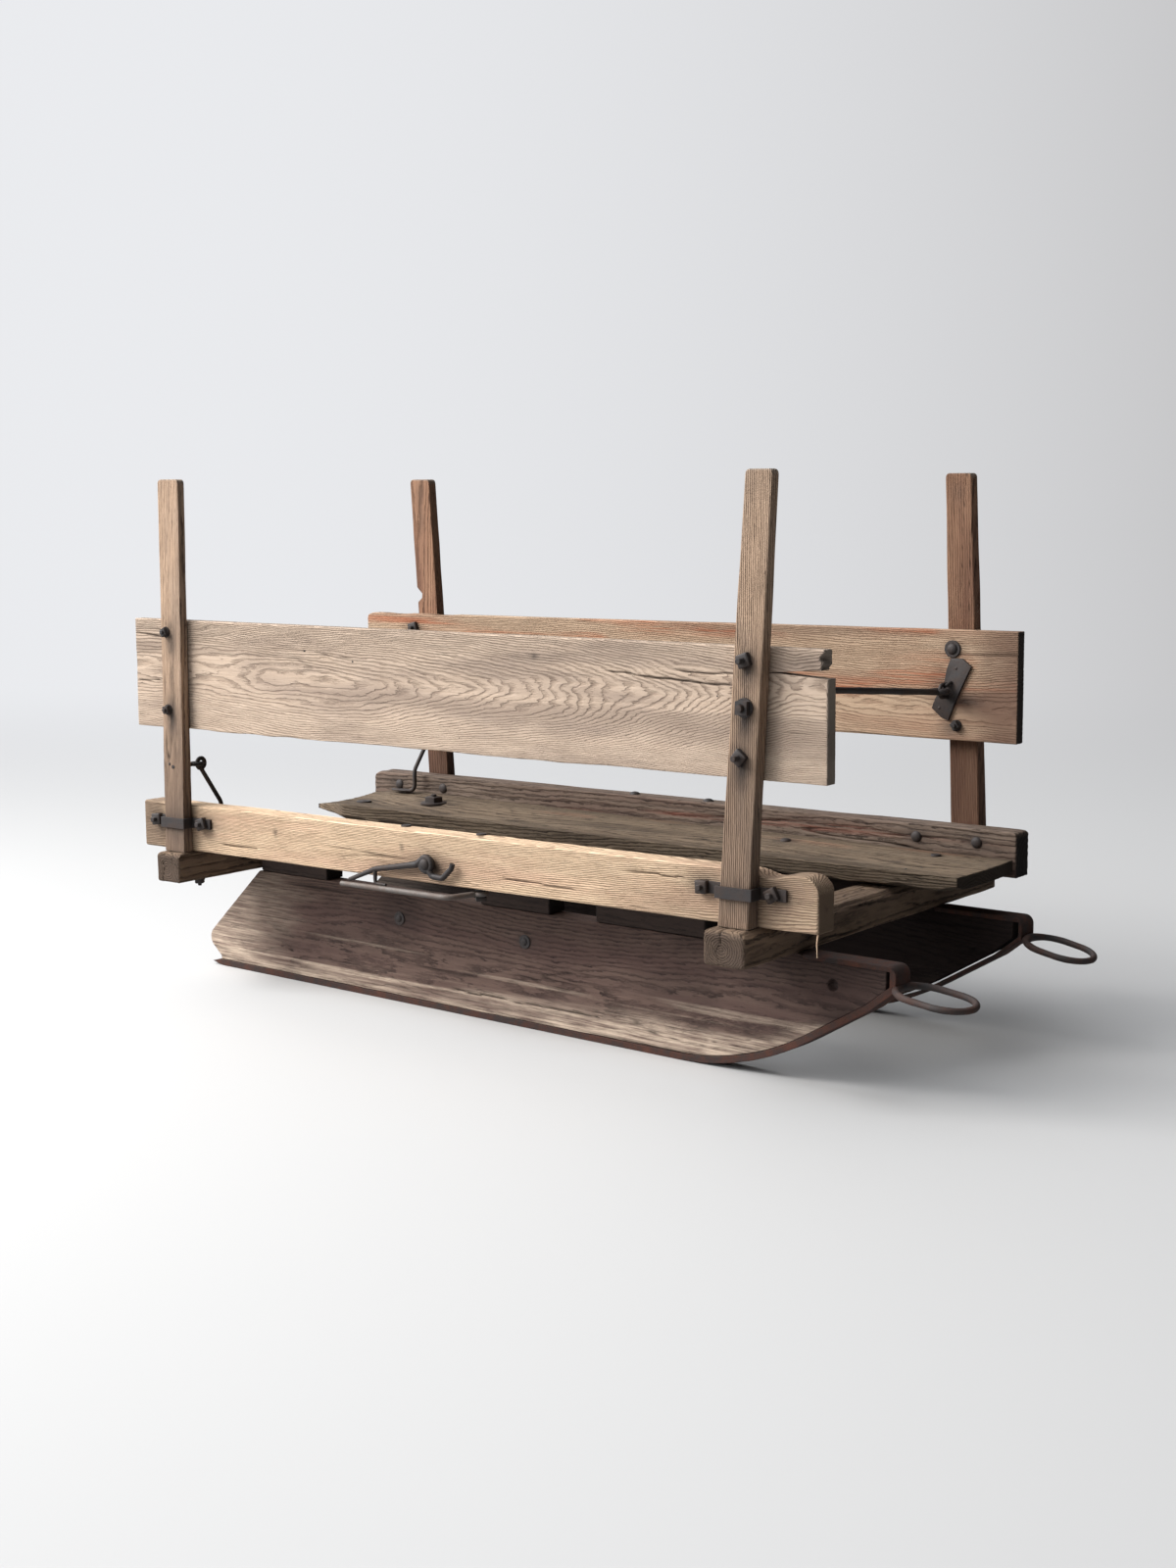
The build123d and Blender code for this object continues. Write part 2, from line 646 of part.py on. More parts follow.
# Tie rod from a nut on the near front stake to the staple on the far board
tie_x, _, near_front_thick = stake_at(stake_rows["near_front"], TIE_ROD_NEAR_Z)
plate_face_y = RACK_WIDTH - BOARD_THICK - REST_GAP
bight_y = plate_face_y - PLATE_THICK - STAPLE_REACH
rod_start = (tie_x, -near_front_thick - TIE_STUB, TIE_ROD_NEAR_Z)
rod_inner = (tie_x, BOARD_THICK + TIE_STUB, TIE_ROD_NEAR_Z)
rod_bore = rod_between(rod_start, rod_inner, TIE_ROD_R + REST_GAP)
rod_plane = Plane(origin=(tie_x, 0, 0), x_dir=(0, 1, 0), z_dir=(1, 0, 0))
rod_path = rod_plane * FilletPolyline(
    (-near_front_thick - TIE_STUB, TIE_ROD_NEAR_Z),
    (BOARD_THICK + TIE_STUB, TIE_ROD_NEAR_Z),
    (TIE_ROD_BOW_SHARE * RACK_WIDTH, TIE_ROD_BOW_Z),
    (bight_y - TIE_EYE_R, TIE_ROD_FAR_Z),
    radius=TIE_ROD_BEND_R)
tie_rod = bar_along(rod_path, TIE_ROD_R)
tie_rod += Pos(tie_x, bight_y, TIE_ROD_FAR_Z) * bar_eye(TIE_EYE_R, TIE_ROD_R)
add_node("tie_rod", tie_rod, rack_frame)
boards["near"] -= rod_bore
stakes["near_front"] -= rod_bore
nut_turn = Rot(90, 0, 0)
washer_y = -near_front_thick - REST_GAP - TIE_WASHER_THICK / 2
nut = Pos(tie_x, washer_y, TIE_ROD_NEAR_Z) * nut_turn * Cylinder(TIE_WASHER_R, TIE_WASHER_THICK)
nut_y = washer_y - TIE_WASHER_THICK / 2 - TIE_NUT_HEIGHT / 2
nut += Pos(tie_x, nut_y, TIE_ROD_NEAR_Z) * nut_turn * Box(
    TIE_NUT_WIDTH, TIE_NUT_WIDTH, TIE_NUT_HEIGHT)
nut -= rod_bore
stakes["near_front"] -= nut
add_node("tie_nut", nut, rack_frame)

# Plate and bent staple that hold the far end of the tie rod
plate = Box(PLATE_WIDTH, PLATE_THICK, PLATE_LENGTH)
plate_corners = plate.edges().filter_by(Axis.Y).group_by(Axis.Z)[-1]
plate = Rot(0, PLATE_LEAN, 0) * chamfer(plate_corners.sort_by(Axis.X)[-1], PLATE_CORNER)
plate = Pos(tie_x + PLATE_OFFSET, plate_face_y - PLATE_THICK / 2, TIE_ROD_FAR_Z + PLATE_RISE) * plate
staple_plane = Plane(origin=(tie_x, 0, 0), x_dir=(0, 1, 0), z_dir=(1, 0, 0))
staple_path = staple_plane * FilletPolyline(
    (plate_face_y - PLATE_THICK / 2, TIE_ROD_FAR_Z - STAPLE_HALF),
    (bight_y, TIE_ROD_FAR_Z - STAPLE_HALF),
    (bight_y, TIE_ROD_FAR_Z + STAPLE_HALF),
    (plate_face_y - PLATE_THICK / 2, TIE_ROD_FAR_Z + STAPLE_HALF),
    radius=STAPLE_HALF * STAPLE_BEND_SHARE)
plate += bar_along(staple_path, STAPLE_R)
add_node("tie_plate", plate, rack_frame)

# Braces that hold the rear stakes, each hooked in the eye of a bolt through its stake
for brace in BRACE_TABLE:
    side = brace["name"]
    inward = 1 if side == "near" else -1
    centre, width, thick = stake_at(stake_rows[f"{side}_rear"], BRACE_EYE_Z)
    face_y = side_y(side, 0)
    eye_y = face_y + inward * brace["reach_share"] * BRACE_EYE_Z
    neck_y = eye_y - inward * EYEBOLT_EYE_R
    outer_end = (centre, side_y(side, thick), BRACE_EYE_Z)
    eyebolt = bar_between(outer_end, (centre, neck_y, BRACE_EYE_Z), EYEBOLT_BAR_R)
    eyebolt += Pos(centre, eye_y, BRACE_EYE_Z) * bar_eye(EYEBOLT_EYE_R, EYEBOLT_BAR_R)
    add_node(f"eyebolt_{side}", eyebolt, rack_frame)
    bore_radius = EYEBOLT_BAR_R + REST_GAP
    stakes[f"{side}_rear"] -= rod_between(outer_end, (centre, face_y, BRACE_EYE_Z), bore_radius)

    link_y = eye_y + inward * EYEBOLT_EYE_R
    bend_y = link_y + inward * brace["lean_share"] * BRACE_EYE_Z
    foot_edge_y = bend_y + BRACE_FOOT_WIDTH / 2
    on_deck = deck_rise(centre - BRACE_FOOT_LENGTH, foot_edge_y) if side == "far" else 0
    floor_z = REST_GAP * 2 + on_deck
    turn_z = floor_z + BRACE_BAR_R + BRACE_TURN_R
    link_eye = Rot(0, 90, 0) * bar_eye(BRACE_EYE_R, BRACE_BAR_R)
    brace_plane = Plane(origin=(centre, 0, 0), x_dir=(0, 1, 0), z_dir=(1, 0, 0))
    drop_path = brace_plane * FilletPolyline(
        (link_y, BRACE_EYE_Z - BRACE_EYE_R),
        (bend_y, brace["bend_share"] * BRACE_EYE_Z),
        (bend_y, turn_z),
        radius=BRACE_BEND_R)
    turn = Pos(-BRACE_TURN_R, 0, turn_z) * Rot(-90, 0, 0) * bar_loop(
        BRACE_TURN_R, BRACE_BAR_R, 90)
    foot_x = -BRACE_TURN_R
    half = BRACE_FOOT_WIDTH / 2
    foot_outline = [
        (foot_x, BRACE_BAR_R),
        (foot_x - BRACE_FOOT_LENGTH * FOOT_NECK_SHARE, half),
        (foot_x - BRACE_FOOT_LENGTH * FOOT_TAPER_SHARE, half),
        (foot_x - BRACE_FOOT_LENGTH, half * FOOT_TIP_SHARE),
    ]
    foot_outline += [(x, -y) for x, y in reversed(foot_outline)]
    foot = extrude(make_face(Polyline(*foot_outline, close=True)), amount=BRACE_FOOT_THICK)
    foot = Pos(0, 0, floor_z) * foot
    bar = Pos(centre, bend_y, 0) * Rot(0, 0, brace["foot_turn"]) * (turn + foot)
    bar += bar_along(drop_path, BRACE_BAR_R)
    bar += Pos(centre, link_y, BRACE_EYE_Z) * link_eye
    add_node(f"brace_{side}", bar, rack_frame)

for name, stake in stakes.items():
    add_node(f"stake_{name}", stake, rack_frame)
for name, board in boards.items():
    add_node(f"side_board_{name}", board, rack_frame)

# Latch hook that turns on a bolt in the near rail
hook_y = -LATCH_STANDOFF
hook_plane = Plane(origin=(0, hook_y, 0), x_dir=(1, 0, 0), z_dir=(0, -1, 0))
bar_plane = Plane(origin=(0, hook_y - LATCH_THICK / 2, 0), x_dir=(1, 0, 0), z_dir=(0, -1, 0))
prong_x = LATCH_X - LATCH_ARM_LENGTH * PRONG_PLACE_SHARE
prong_z = LATCH_Z - LATCH_ARM_DROP * LATCH_KNEE_DROP_SHARE
tail_x = LATCH_X + TAIL_LENGTH
arm_path = bar_plane * FilletPolyline(
    (LATCH_X, LATCH_Z),
    (prong_x, prong_z),
    (LATCH_X - LATCH_ARM_LENGTH, LATCH_Z - LATCH_ARM_DROP),
    radius=LATCH_KNEE_R)
prong_path = bar_plane * FilletPolyline(
    (prong_x, prong_z),
    (prong_x, prong_z - PRONG_LENGTH),
    (prong_x + PRONG_TOE, prong_z - PRONG_LENGTH),
    radius=PRONG_BEND_R)
tail_path = bar_plane * FilletPolyline(
    (LATCH_X, LATCH_Z),
    (LATCH_X + TAIL_LENGTH * TAIL_START_SHARE, LATCH_Z - TAIL_SAG),
    (LATCH_X + TAIL_LENGTH * TAIL_TURN_SHARE, LATCH_Z - TAIL_SAG),
    (tail_x, LATCH_Z + TAIL_RISE),
    radius=TAIL_BEND_R)
hook_eye = bar_section(LATCH_EYE_R, BOLT_SIDES * 2)
hook = extrude(hook_plane * Pos(LATCH_X, LATCH_Z) * hook_eye, amount=LATCH_THICK)
for path in (arm_path, prong_path, tail_path):
    hook += bar_along(path, LATCH_BAR_R)
hook_bore = Cylinder(LATCH_PIN_R + PIN_CLEARANCE, LATCH_THICK * 4)
hook -= Pos(LATCH_X, hook_y, LATCH_Z) * Rot(90, 0, 0) * hook_bore
add_node("latch_hook", hook, rack_frame)
pin_out_y = hook_y - LATCH_THICK - PIN_CLEARANCE
latch_pin = bar_between((LATCH_X, LATCH_PIN_BITE - REST_GAP, LATCH_Z),
                        (LATCH_X, pin_out_y, LATCH_Z), LATCH_PIN_R - REST_GAP, BOLT_SIDES)
latch_pin += bar_between((LATCH_X, pin_out_y, LATCH_Z),
                         (LATCH_X, pin_out_y - LATCH_HEAD_THICK, LATCH_Z), LATCH_HEAD_R, BOLT_SIDES)
latch_pin += bar_between((LATCH_X, 0, LATCH_Z),
                         (LATCH_X, hook_y + PIN_CLEARANCE, LATCH_Z), LATCH_HEAD_R, BOLT_SIDES)
add_node("latch_pin", latch_pin, rack_frame)

# Swing bar that turns on a bolt under the near rail
swing_z = -SWING_DROP - SWING_THICK
corner = (SWING_PIVOT_X - SWING_SETBACK, SWING_PIVOT_Y - SWING_REACH)
swing_plane = Plane(origin=(0, 0, swing_z))
swing_path = Pos(0, 0, swing_z + SWING_THICK / 2) * FilletPolyline(
    (SWING_PIVOT_X, SWING_PIVOT_Y),
    corner,
    (corner[0] - SWING_ARM_LENGTH, corner[1]),
    radius=SWING_BEND_R)
swing_eye = swing_plane * Pos(SWING_PIVOT_X, SWING_PIVOT_Y) * bar_section(
    SWING_EYE_R, BOLT_SIDES * 2)
swing = extrude(swing_eye, amount=SWING_THICK)
swing += bar_along(swing_path, SWING_BAR_R)
swing_bore = Cylinder(SWING_PIN_R + PIN_CLEARANCE, SWING_THICK * 4)
swing -= Pos(SWING_PIVOT_X, SWING_PIVOT_Y, swing_z) * swing_bore
add_node("swing_bar", swing, rack_frame)
swing_under = swing_z - PIN_CLEARANCE
swing_pin = bar_between((SWING_PIVOT_X, SWING_PIVOT_Y, swing_under),
                        (SWING_PIVOT_X, SWING_PIVOT_Y, SWING_PIN_BITE - REST_GAP),
                        SWING_PIN_R - REST_GAP, BOLT_SIDES)
swing_pin += bar_between((SWING_PIVOT_X, SWING_PIVOT_Y, swing_under - SWING_HEAD_THICK),
                         (SWING_PIVOT_X, SWING_PIVOT_Y, swing_under), SWING_HEAD_R, BOLT_SIDES)
swing_pin += bar_between((SWING_PIVOT_X, SWING_PIVOT_Y, -SWING_DROP + PIN_CLEARANCE),
                         (SWING_PIVOT_X, SWING_PIVOT_Y, 0), SWING_HEAD_R, BOLT_SIDES)
add_node("swing_pin", swing_pin, rack_frame)

for name, shape in nodes.items():
    shape.label = name
    export_step(shape, f"parts/{name}.step")
boxes = [shape.bounding_box() for shape in nodes.values()]
low = [min(tuple(box.min)[i] for box in boxes) for i in range(3)]
high = [max(tuple(box.max)[i] for box in boxes) for i in range(3)]
print(len(nodes), "nodes, from", low, "to", high)


def to_row(point):
    place = row_shift * rack_frame * Location(point)
    return [round(v / 1000, 5) for v in tuple(place.position)]


print("latch pivot", to_row((LATCH_X, hook_y - LATCH_THICK / 2, LATCH_Z)))
print("swing pivot", to_row((SWING_PIVOT_X, SWING_PIVOT_Y, swing_z + SWING_THICK / 2)))
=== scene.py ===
import math

import bpy
import numpy as np
from mathutils import Matrix, Vector


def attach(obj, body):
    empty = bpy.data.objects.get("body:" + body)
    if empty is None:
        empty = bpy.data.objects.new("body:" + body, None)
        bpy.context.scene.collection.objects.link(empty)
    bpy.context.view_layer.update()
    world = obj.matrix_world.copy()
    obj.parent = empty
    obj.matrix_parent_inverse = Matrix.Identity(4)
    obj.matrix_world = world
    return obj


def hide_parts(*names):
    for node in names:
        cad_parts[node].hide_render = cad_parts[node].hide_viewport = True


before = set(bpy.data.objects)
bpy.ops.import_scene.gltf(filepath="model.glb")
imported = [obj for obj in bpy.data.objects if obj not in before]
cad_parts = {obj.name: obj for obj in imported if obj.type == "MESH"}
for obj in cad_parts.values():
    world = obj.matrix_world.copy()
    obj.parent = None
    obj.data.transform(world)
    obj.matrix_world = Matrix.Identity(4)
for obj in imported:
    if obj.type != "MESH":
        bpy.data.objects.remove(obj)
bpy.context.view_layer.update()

MM = 0.001
REST_GAP = 0.2
CRACK_DEPTH = 4.0
LATTICE = np.array((374761393, 668265263, 2246822519), np.uint32)

# Frames that the sled's parts are measured in
SLED = Matrix.Translation((-0.83601, -0.25753, 0))
TILT = Matrix.Rotation(math.radians(-0.40), 4, "Y")
SEAT = SLED @ Matrix.Translation((0, 0, 0.212)) @ TILT
RACK = SLED @ Matrix.Translation((-0.019, -0.167, 0.271067)) @ TILT @ Matrix.Rotation(
    math.radians(2.335), 4, "Z")
# Local x of a timber runs along its grain
UPRIGHT = Matrix(((0, 1, 0, 0), (0, 0, 1, 0), (1, 0, 0, 0), (0, 0, 0, 1)))
ACROSS = Matrix(((0, 0, 1, 0), (1, 0, 0, 0), (0, 1, 0, 0), (0, 0, 0, 1)))


# Seeded noise on arrays of points, from -1 to 1
def lattice_value(i, seed):
    h = (i.astype(np.uint32) * LATTICE).sum(1, dtype=np.uint32)
    h += np.uint32(seed * 3266489 + 974711)
    for shift, factor in ((13, 1274126177), (16, 2654435769), (15, 1)):
        h ^= h >> np.uint32(shift)
        h *= np.uint32(factor)
    return h.astype(np.float64) / 2147483647.5 - 1


def noise(p, size, seed):
    q = p / np.asarray(size, float)
    i = np.floor(q).astype(np.int64)
    f = q - i
    f = f * f * (3 - 2 * f)
    total = 0
    for dx in (0, 1):
        wx = f[:, 0] if dx else 1 - f[:, 0]
        for dy in (0, 1):
            wy = f[:, 1] if dy else 1 - f[:, 1]
            for dz in (0, 1):
                wz = f[:, 2] if dz else 1 - f[:, 2]
                total = total + wx * wy * wz * lattice_value(i + (dx, dy, dz), seed)
    return total


def fbm(p, size, seed, octaves=3):
    total, part = 0, 1.0
    size = np.asarray(size, float)
    for k in range(octaves):
        total = total + part * noise(p, size / 2 ** k, seed + 17 * k)
        part *= 0.5
    return total / 1.6


def along_noise(p, size, seed):
    return noise(p * (1, 0, 0), (size, 1, 1), seed)


def smooth(low, high, x):
    t = np.clip((x - low) / (high - low), 0, 1)
    return t * t * (3 - 2 * t)


def bell(value, centre, reach):
    return np.exp(-((value - centre) / reach) ** 2)


# Distances along one side of a timber, close together near its edges
def stops(length, step, edge):
    ends = edge * np.array([0, 0.12, 0.3, 0.55, 0.85, 1.2])
    count = max(2, int(round((length - 2.4 * edge) / step)))
    middle = np.linspace(ends[-1], length - ends[-1], count + 1)[1:-1]
    return np.concatenate([ends, middle, length - ends[::-1]])


# Surface of a block of lattice cells, with the empty cells left out
def block_surface(full):
    nx, ny, nz = full.shape
    padded = np.zeros((nx + 2, ny + 2, nz + 2), bool)
    padded[1:-1, 1:-1, 1:-1] = full
    quads = []
    corners = {0: ((0, 0, 0), (0, 1, 0), (0, 1, 1), (0, 0, 1)),
               1: ((0, 0, 0), (0, 0, 1), (1, 0, 1), (1, 0, 0)),
               2: ((0, 0, 0), (1, 0, 0), (1, 1, 0), (0, 1, 0))}
    for axis in range(3):
        lower = np.take(padded, range(padded.shape[axis] - 1), axis)
        upper = np.take(padded, range(1, padded.shape[axis]), axis)
        for side, mask in ((1, lower & ~upper), (-1, upper & ~lower)):
            cell = np.argwhere(mask)
            if not len(cell):
                continue
            base = cell.copy()
            for other in range(3):
                if other != axis:
                    base[:, other] -= 1
            ring = [base + np.array(c) for c in corners[axis]]
            if side < 0:
                ring = ring[::-1]
            quads.append(np.stack(ring, 1))
    quads = np.concatenate(quads)
    shape = (nx + 1, ny + 1, nz + 1)
    flat = np.ravel_multi_index(quads.reshape(-1, 3).T, shape)
    used, index = np.unique(flat, return_inverse=True)
    return np.stack(np.unravel_index(used, shape), 1), index.reshape(-1, 4)


def new_object(name, verts, faces, matrix, attributes=None):
    mesh = bpy.data.meshes.new(name)
    mesh.from_pydata([tuple(v) for v in verts], [], [tuple(f) for f in faces])
    for key, values in (attributes or {}).items():
        layer = mesh.attributes.new(key, "FLOAT", "POINT")
        layer.data.foreach_set("value", np.asarray(values, np.float32))
    mesh.polygons.foreach_set("use_smooth", [True] * len(mesh.polygons))
    mesh.update()
    mesh.validate()
    piece = bpy.data.objects.new(name, mesh)
    bpy.context.scene.collection.objects.link(piece)
    piece.matrix_world = matrix
    return piece


# Weathered timber relief: eroded early wood between the rings, fibres, checks and broad hollows
def relief(p, grain, across):
    seed = grain["seed"]
    x, y, z = p.T
    wander = grain.get("wander", 9) * fbm(p, (420, 90, 90), seed + 1)
    wander = wander + grain.get("ripple", 1.6) * fbm(p, (70, 16, 16), seed + 3, 2)
    pith_y = grain["pith"][0] + grain.get("drift_y", 0) * x / 1000
    pith_z = grain["pith"][1] + grain.get("drift_z", 0) * x / 1000
    bow = grain.get("bow", 0) * noise(p * (1, 0, 0) + 1, (520, 50, 50), seed + 2)
    radius = np.hypot(y - pith_y, z - pith_z + bow) + wander
    for start, end, slope in grain.get("slant", ()):
        share = np.clip((x - start) / (end - start), 0, 1)
        radius = radius + slope * (end - start) * share ** 2
    phase = radius / grain["ring"]
    ring = 0.5 - 0.5 * np.cos(np.pi * phase)
    patch = 0.6 + 0.4 * noise(p, (260, 60, 60), seed + 4)
    fibre = noise(p, (85, 3.6, 3.6), seed + 5)
    line = noise(p, (grain.get("check_run", 330), 13, 13), seed + 7)
    where = smooth(0.1, 0.6, noise(p, (300, 45, 45), seed + 8))
    check = (1 - smooth(0, 0.05, np.abs(line))) * where
    crack = np.zeros(len(p))
    for x0, a0, x1, a1, width in grain.get("cracks", ()):
        share = np.clip((x - x0) / (x1 - x0), 0, 1)
        middle = a0 + (a1 - a0) * share + 1.6 * along_noise(p, 28, seed + 10)
        middle = middle + grain.get("jag", 0) * noise(p * (0, 1, 0), (9, 17, 9), seed + 12)
        width = width * (1 + 0.5 * noise(p + 5, (30, 12, 12), seed + 13))
        taper = np.minimum(1, 8 * np.minimum(share, 1 - share) + 0.25)
        gap = np.abs(p[:, across] - middle) / (width * taper)
        crack = np.maximum(crack, np.where((x > x0) & (x < x1), 1 - smooth(0.3, 1.0, gap), 0))
    hollow = np.maximum(0, noise(p, (170, 60, 60), seed + 9))
    depth = (grain["depth"] * ring * patch + grain.get("fibre", 0.3) * (0.5 + 0.5 * fibre)
             + grain.get("check", 1.4) * check + grain.get("hollow", 0.8) * hollow
             + CRACK_DEPTH * crack)
    # Cracks and checks are marked for painted shade
    groove = np.clip(0.9 * check + 1.2 * crack, 0, 1)
    return depth, {"phase": phase, "groove": groove, "ring": patch}


# A timber that replaces a node, with its surface taken from a block of cells
def timber(name, node, matrix, size, steps, edge, grain, warp, kind, empty=None, stains=(),
           dense=(), across=2):
    sx = stops(size[0], steps[0], edge)
    for low, high, step in dense:
        sx = np.concatenate([sx[sx < low], np.arange(low, high, step), sx[sx > high]])
    sy, sz = stops(size[1], steps[1], edge), stops(size[2], steps[2], edge)
    full = np.ones((len(sx) - 1, len(sy) - 1, len(sz) - 1), bool)
    if empty is not None:
        empty(full, sx, sz)
    index, quads = block_surface(full)
    p = np.stack([sx[index[:, 0]], sy[index[:, 1]], sz[index[:, 2]]], 1)
    # Edges rounded by wear that changes along the grain
    limit = np.array(size, float)
    wear = edge * (0.78 + 0.3 * noise(p * (1, 0.2, 0.2), (60, 40, 40), grain["seed"] + 31))
    wear = wear[:, None]
    core = np.clip(p, wear, limit - wear)
    outward = p - core
    reach = np.linalg.norm(outward, axis=1, keepdims=True)
    inner = reach[:, 0] < 1e-6
    normal = outward / np.maximum(reach, 1e-6)
    p = np.where(inner[:, None], p, core + normal * np.minimum(reach, wear))
    corner = 1 - np.max(np.abs(normal), axis=1)
    corner[inner] = 0
    p = warp(p)
    depth, looks = relief(p, grain, across)
    ends = np.abs(normal[:, 0])
    depth = np.where(inner, 0, depth) * (1 - 0.35 * ends)
    p = p - normal * depth[:, None]
    if "extra" in grain:
        p = grain["extra"](p)
    stain = np.zeros(len(p))
    for spot in stains:
        away = (p - spot[:3]) / spot[3:6]
        stain = np.maximum(stain, spot[6] * np.exp(-(away ** 2).sum(1)))
    looks["stain"] = stain
    for key in ("dim", "red", "worn"):
        if key in grain:
            looks[key] = np.clip(grain[key](p), 0, 1)
    # Rounded edges marked for a painted highlight
    looks["edge"] = np.clip(corner * 3, 0, 1)
    # End faces darkened: end grain, and painted shade on the front ends, which face away from the
    # light; tail_end gives rear ends less of it
    looks["end"] = np.where(normal[:, 0] < 0, grain.get("tail_end", 1.0), 1.0) * ends
    piece = new_object(name, p * MM, quads, matrix, looks)
    paint(piece, wood[kind])
    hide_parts(node)
    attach(piece, "sled")


# Materials built from nodes
class Nodes:
    def __init__(self, owner, output="ShaderNodeOutputMaterial"):
        owner.use_nodes = True
        self.owner = owner
        self.tree = owner.node_tree
        self.tree.nodes.clear()
        self.output = self.tree.nodes.new(output)

    def add(self, kind, inputs=None, **settings):
        node = self.tree.nodes.new(kind)
        for key, value in settings.items():
            setattr(node, key, value)
        for key, value in (inputs or {}).items():
            if isinstance(value, bpy.types.NodeSocket):
                self.tree.links.new(value, node.inputs[key])
            elif isinstance(value, tuple) and len(value) == 3 and node.inputs[key].type == "RGBA":
                node.inputs[key].default_value = (*value, 1)
            else:
                node.inputs[key].default_value = value
        return node

    def attribute(self, name):
        return self.add("ShaderNodeAttribute", attribute_name=name).outputs["Fac"]

    def math(self, operation, a, b=0.0, clamp=False):
        return self.add("ShaderNodeMath", {0: a, 1: b}, operation=operation,
                        use_clamp=clamp).outputs[0]

    def times(self, a, b):
        return self.math("MULTIPLY", a, b)

    def plus(self, a, b, clamp=False):
        return self.math("ADD", a, b, clamp)

    def mix(self, share, a, b):
        return self.add("ShaderNodeMix", {0: share, 6: a, 7: b}, data_type="RGBA").outputs[2]

    def noise(self, vector, scale, detail=4.0, roughness=0.55, stretch=(1, 1, 1)):
        mapping = self.add("ShaderNodeMapping", {"Vector": vector, "Scale": stretch})
        return self.add("ShaderNodeTexNoise", {
            "Vector": mapping.outputs[0], "Scale": scale, "Detail": detail,
            "Roughness": roughness}).outputs["Fac"]

    def ramp(self, value, low, high, to_low=0.0, to_high=1.0, kind="LINEAR"):
        return self.add("ShaderNodeMapRange", {
            "Value": value, "From Min": low, "From Max": high, "To Min": to_low,
            "To Max": to_high}, interpolation_type=kind).outputs[0]

    def dot(self, vector, direction):
        return self.add("ShaderNodeVectorMath", {0: vector, 1: direction},
                        operation="DOT_PRODUCT").outputs["Value"]

    def show(self, shader):
        self.tree.links.new(shader.outputs[0], self.output.inputs[0])


STAIN = (0.05, 0.04, 0.036)


# Late wood stands out pale or dark between lines of early wood
def wood_material(name, pale, mid, dark, band, band_share, line, end=(0.3, 0.26, 0.22),
                  end_share=0.6, bump=0.5, red=(0.42, 0.13, 0.07), worn=(0.34, 0.29, 0.22),
                  dim=(0.2, 0.15, 0.12), wobble=0.5):
    n = Nodes(bpy.data.materials.new(name))
    place = n.add("ShaderNodeTexCoord").outputs["Object"]
    streaks = n.noise(place, 1.0, 3.0, 0.6, (9, 260, 260))
    fibres = n.noise(place, 1.0, 4.0, 0.7, (38, 1300, 1300))
    broad = n.noise(place, 1.0, 3.0, 0.55, (2.4, 17, 17))
    cloud = n.noise(place, 1.0, 5.0, 0.65, (13, 34, 34))
    chaos = n.noise(place, 1.0, 4.0, 0.65, (34, 150, 150))
    specks = n.noise(place, 1.0, 2.0, 0.5, (60, 420, 420))
    spread = n.ramp(n.noise(place, 1.0, 3.0, 0.6, (16, 60, 60)), 0.35, 0.6)
    saw = n.math("FRACT", n.plus(n.attribute("phase"), n.times(chaos, wobble * 3.2)))
    late = n.times(n.ramp(saw, 0.1, 0.42), n.ramp(saw, 1.0, 0.88))
    furrow = n.times(n.math("SUBTRACT", 1.0, late), spread)
    tone = n.plus(n.times(n.ramp(streaks, 0.3, 0.7), 0.45), n.times(n.ramp(fibres, 0.3, 0.7), 0.3))
    color = n.mix(n.plus(tone, n.times(late, 0.35), clamp=True), mid, pale)
    rub = n.ramp(n.plus(streaks, n.times(cloud, 0.6)), 0.55, 0.95)
    for share, strength, tint in (
            (n.ramp(broad, 0.45, 0.62), band_share, band),
            (n.ramp(cloud, 0.4, 0.75), 0.4, mid),
            (n.times(furrow, n.ramp(chaos, 0.25, 0.62)), line, dark),
            (n.ramp(specks, 0.66, 0.76), 0.55, dark),
            (n.attribute("red"), n.ramp(streaks, 0.35, 0.65), red),
            (n.times(n.attribute("worn"), rub), 0.9, worn),
            # Darkening from the dim attribute: random tone, stains and darker feet, and painted
            # shade on the runners, rail front, far board and deck edge
            (n.attribute("dim"), 0.88, dim),
            # End faces: end grain plus painted shade
            (n.attribute("end"), end_share, end),
            # Painted highlight on the rounded edges
            (n.times(n.attribute("edge"), n.ramp(streaks, 0.4, 0.6)), 0.3, pale),
            # Painted shade in the cracks and checks
            (n.attribute("groove"), 0.85, tuple(v * 0.35 for v in dark)),
            (n.times(n.attribute("stain"), n.ramp(cloud, 0.15, 0.5)), 0.9, STAIN)):
        color = n.mix(n.times(share, strength), color, tint)
    height = n.plus(n.times(late, 1.2), n.times(n.plus(streaks, fibres), 0.5))
    rough = n.add("ShaderNodeBump", {"Strength": bump, "Distance": 0.0012, "Height": height})
    n.show(n.add("ShaderNodeBsdfPrincipled", {
        "Base Color": color, "Roughness": 0.88, "Specular IOR Level": 0.2,
        "Normal": rough.outputs[0]}))
    return n.owner


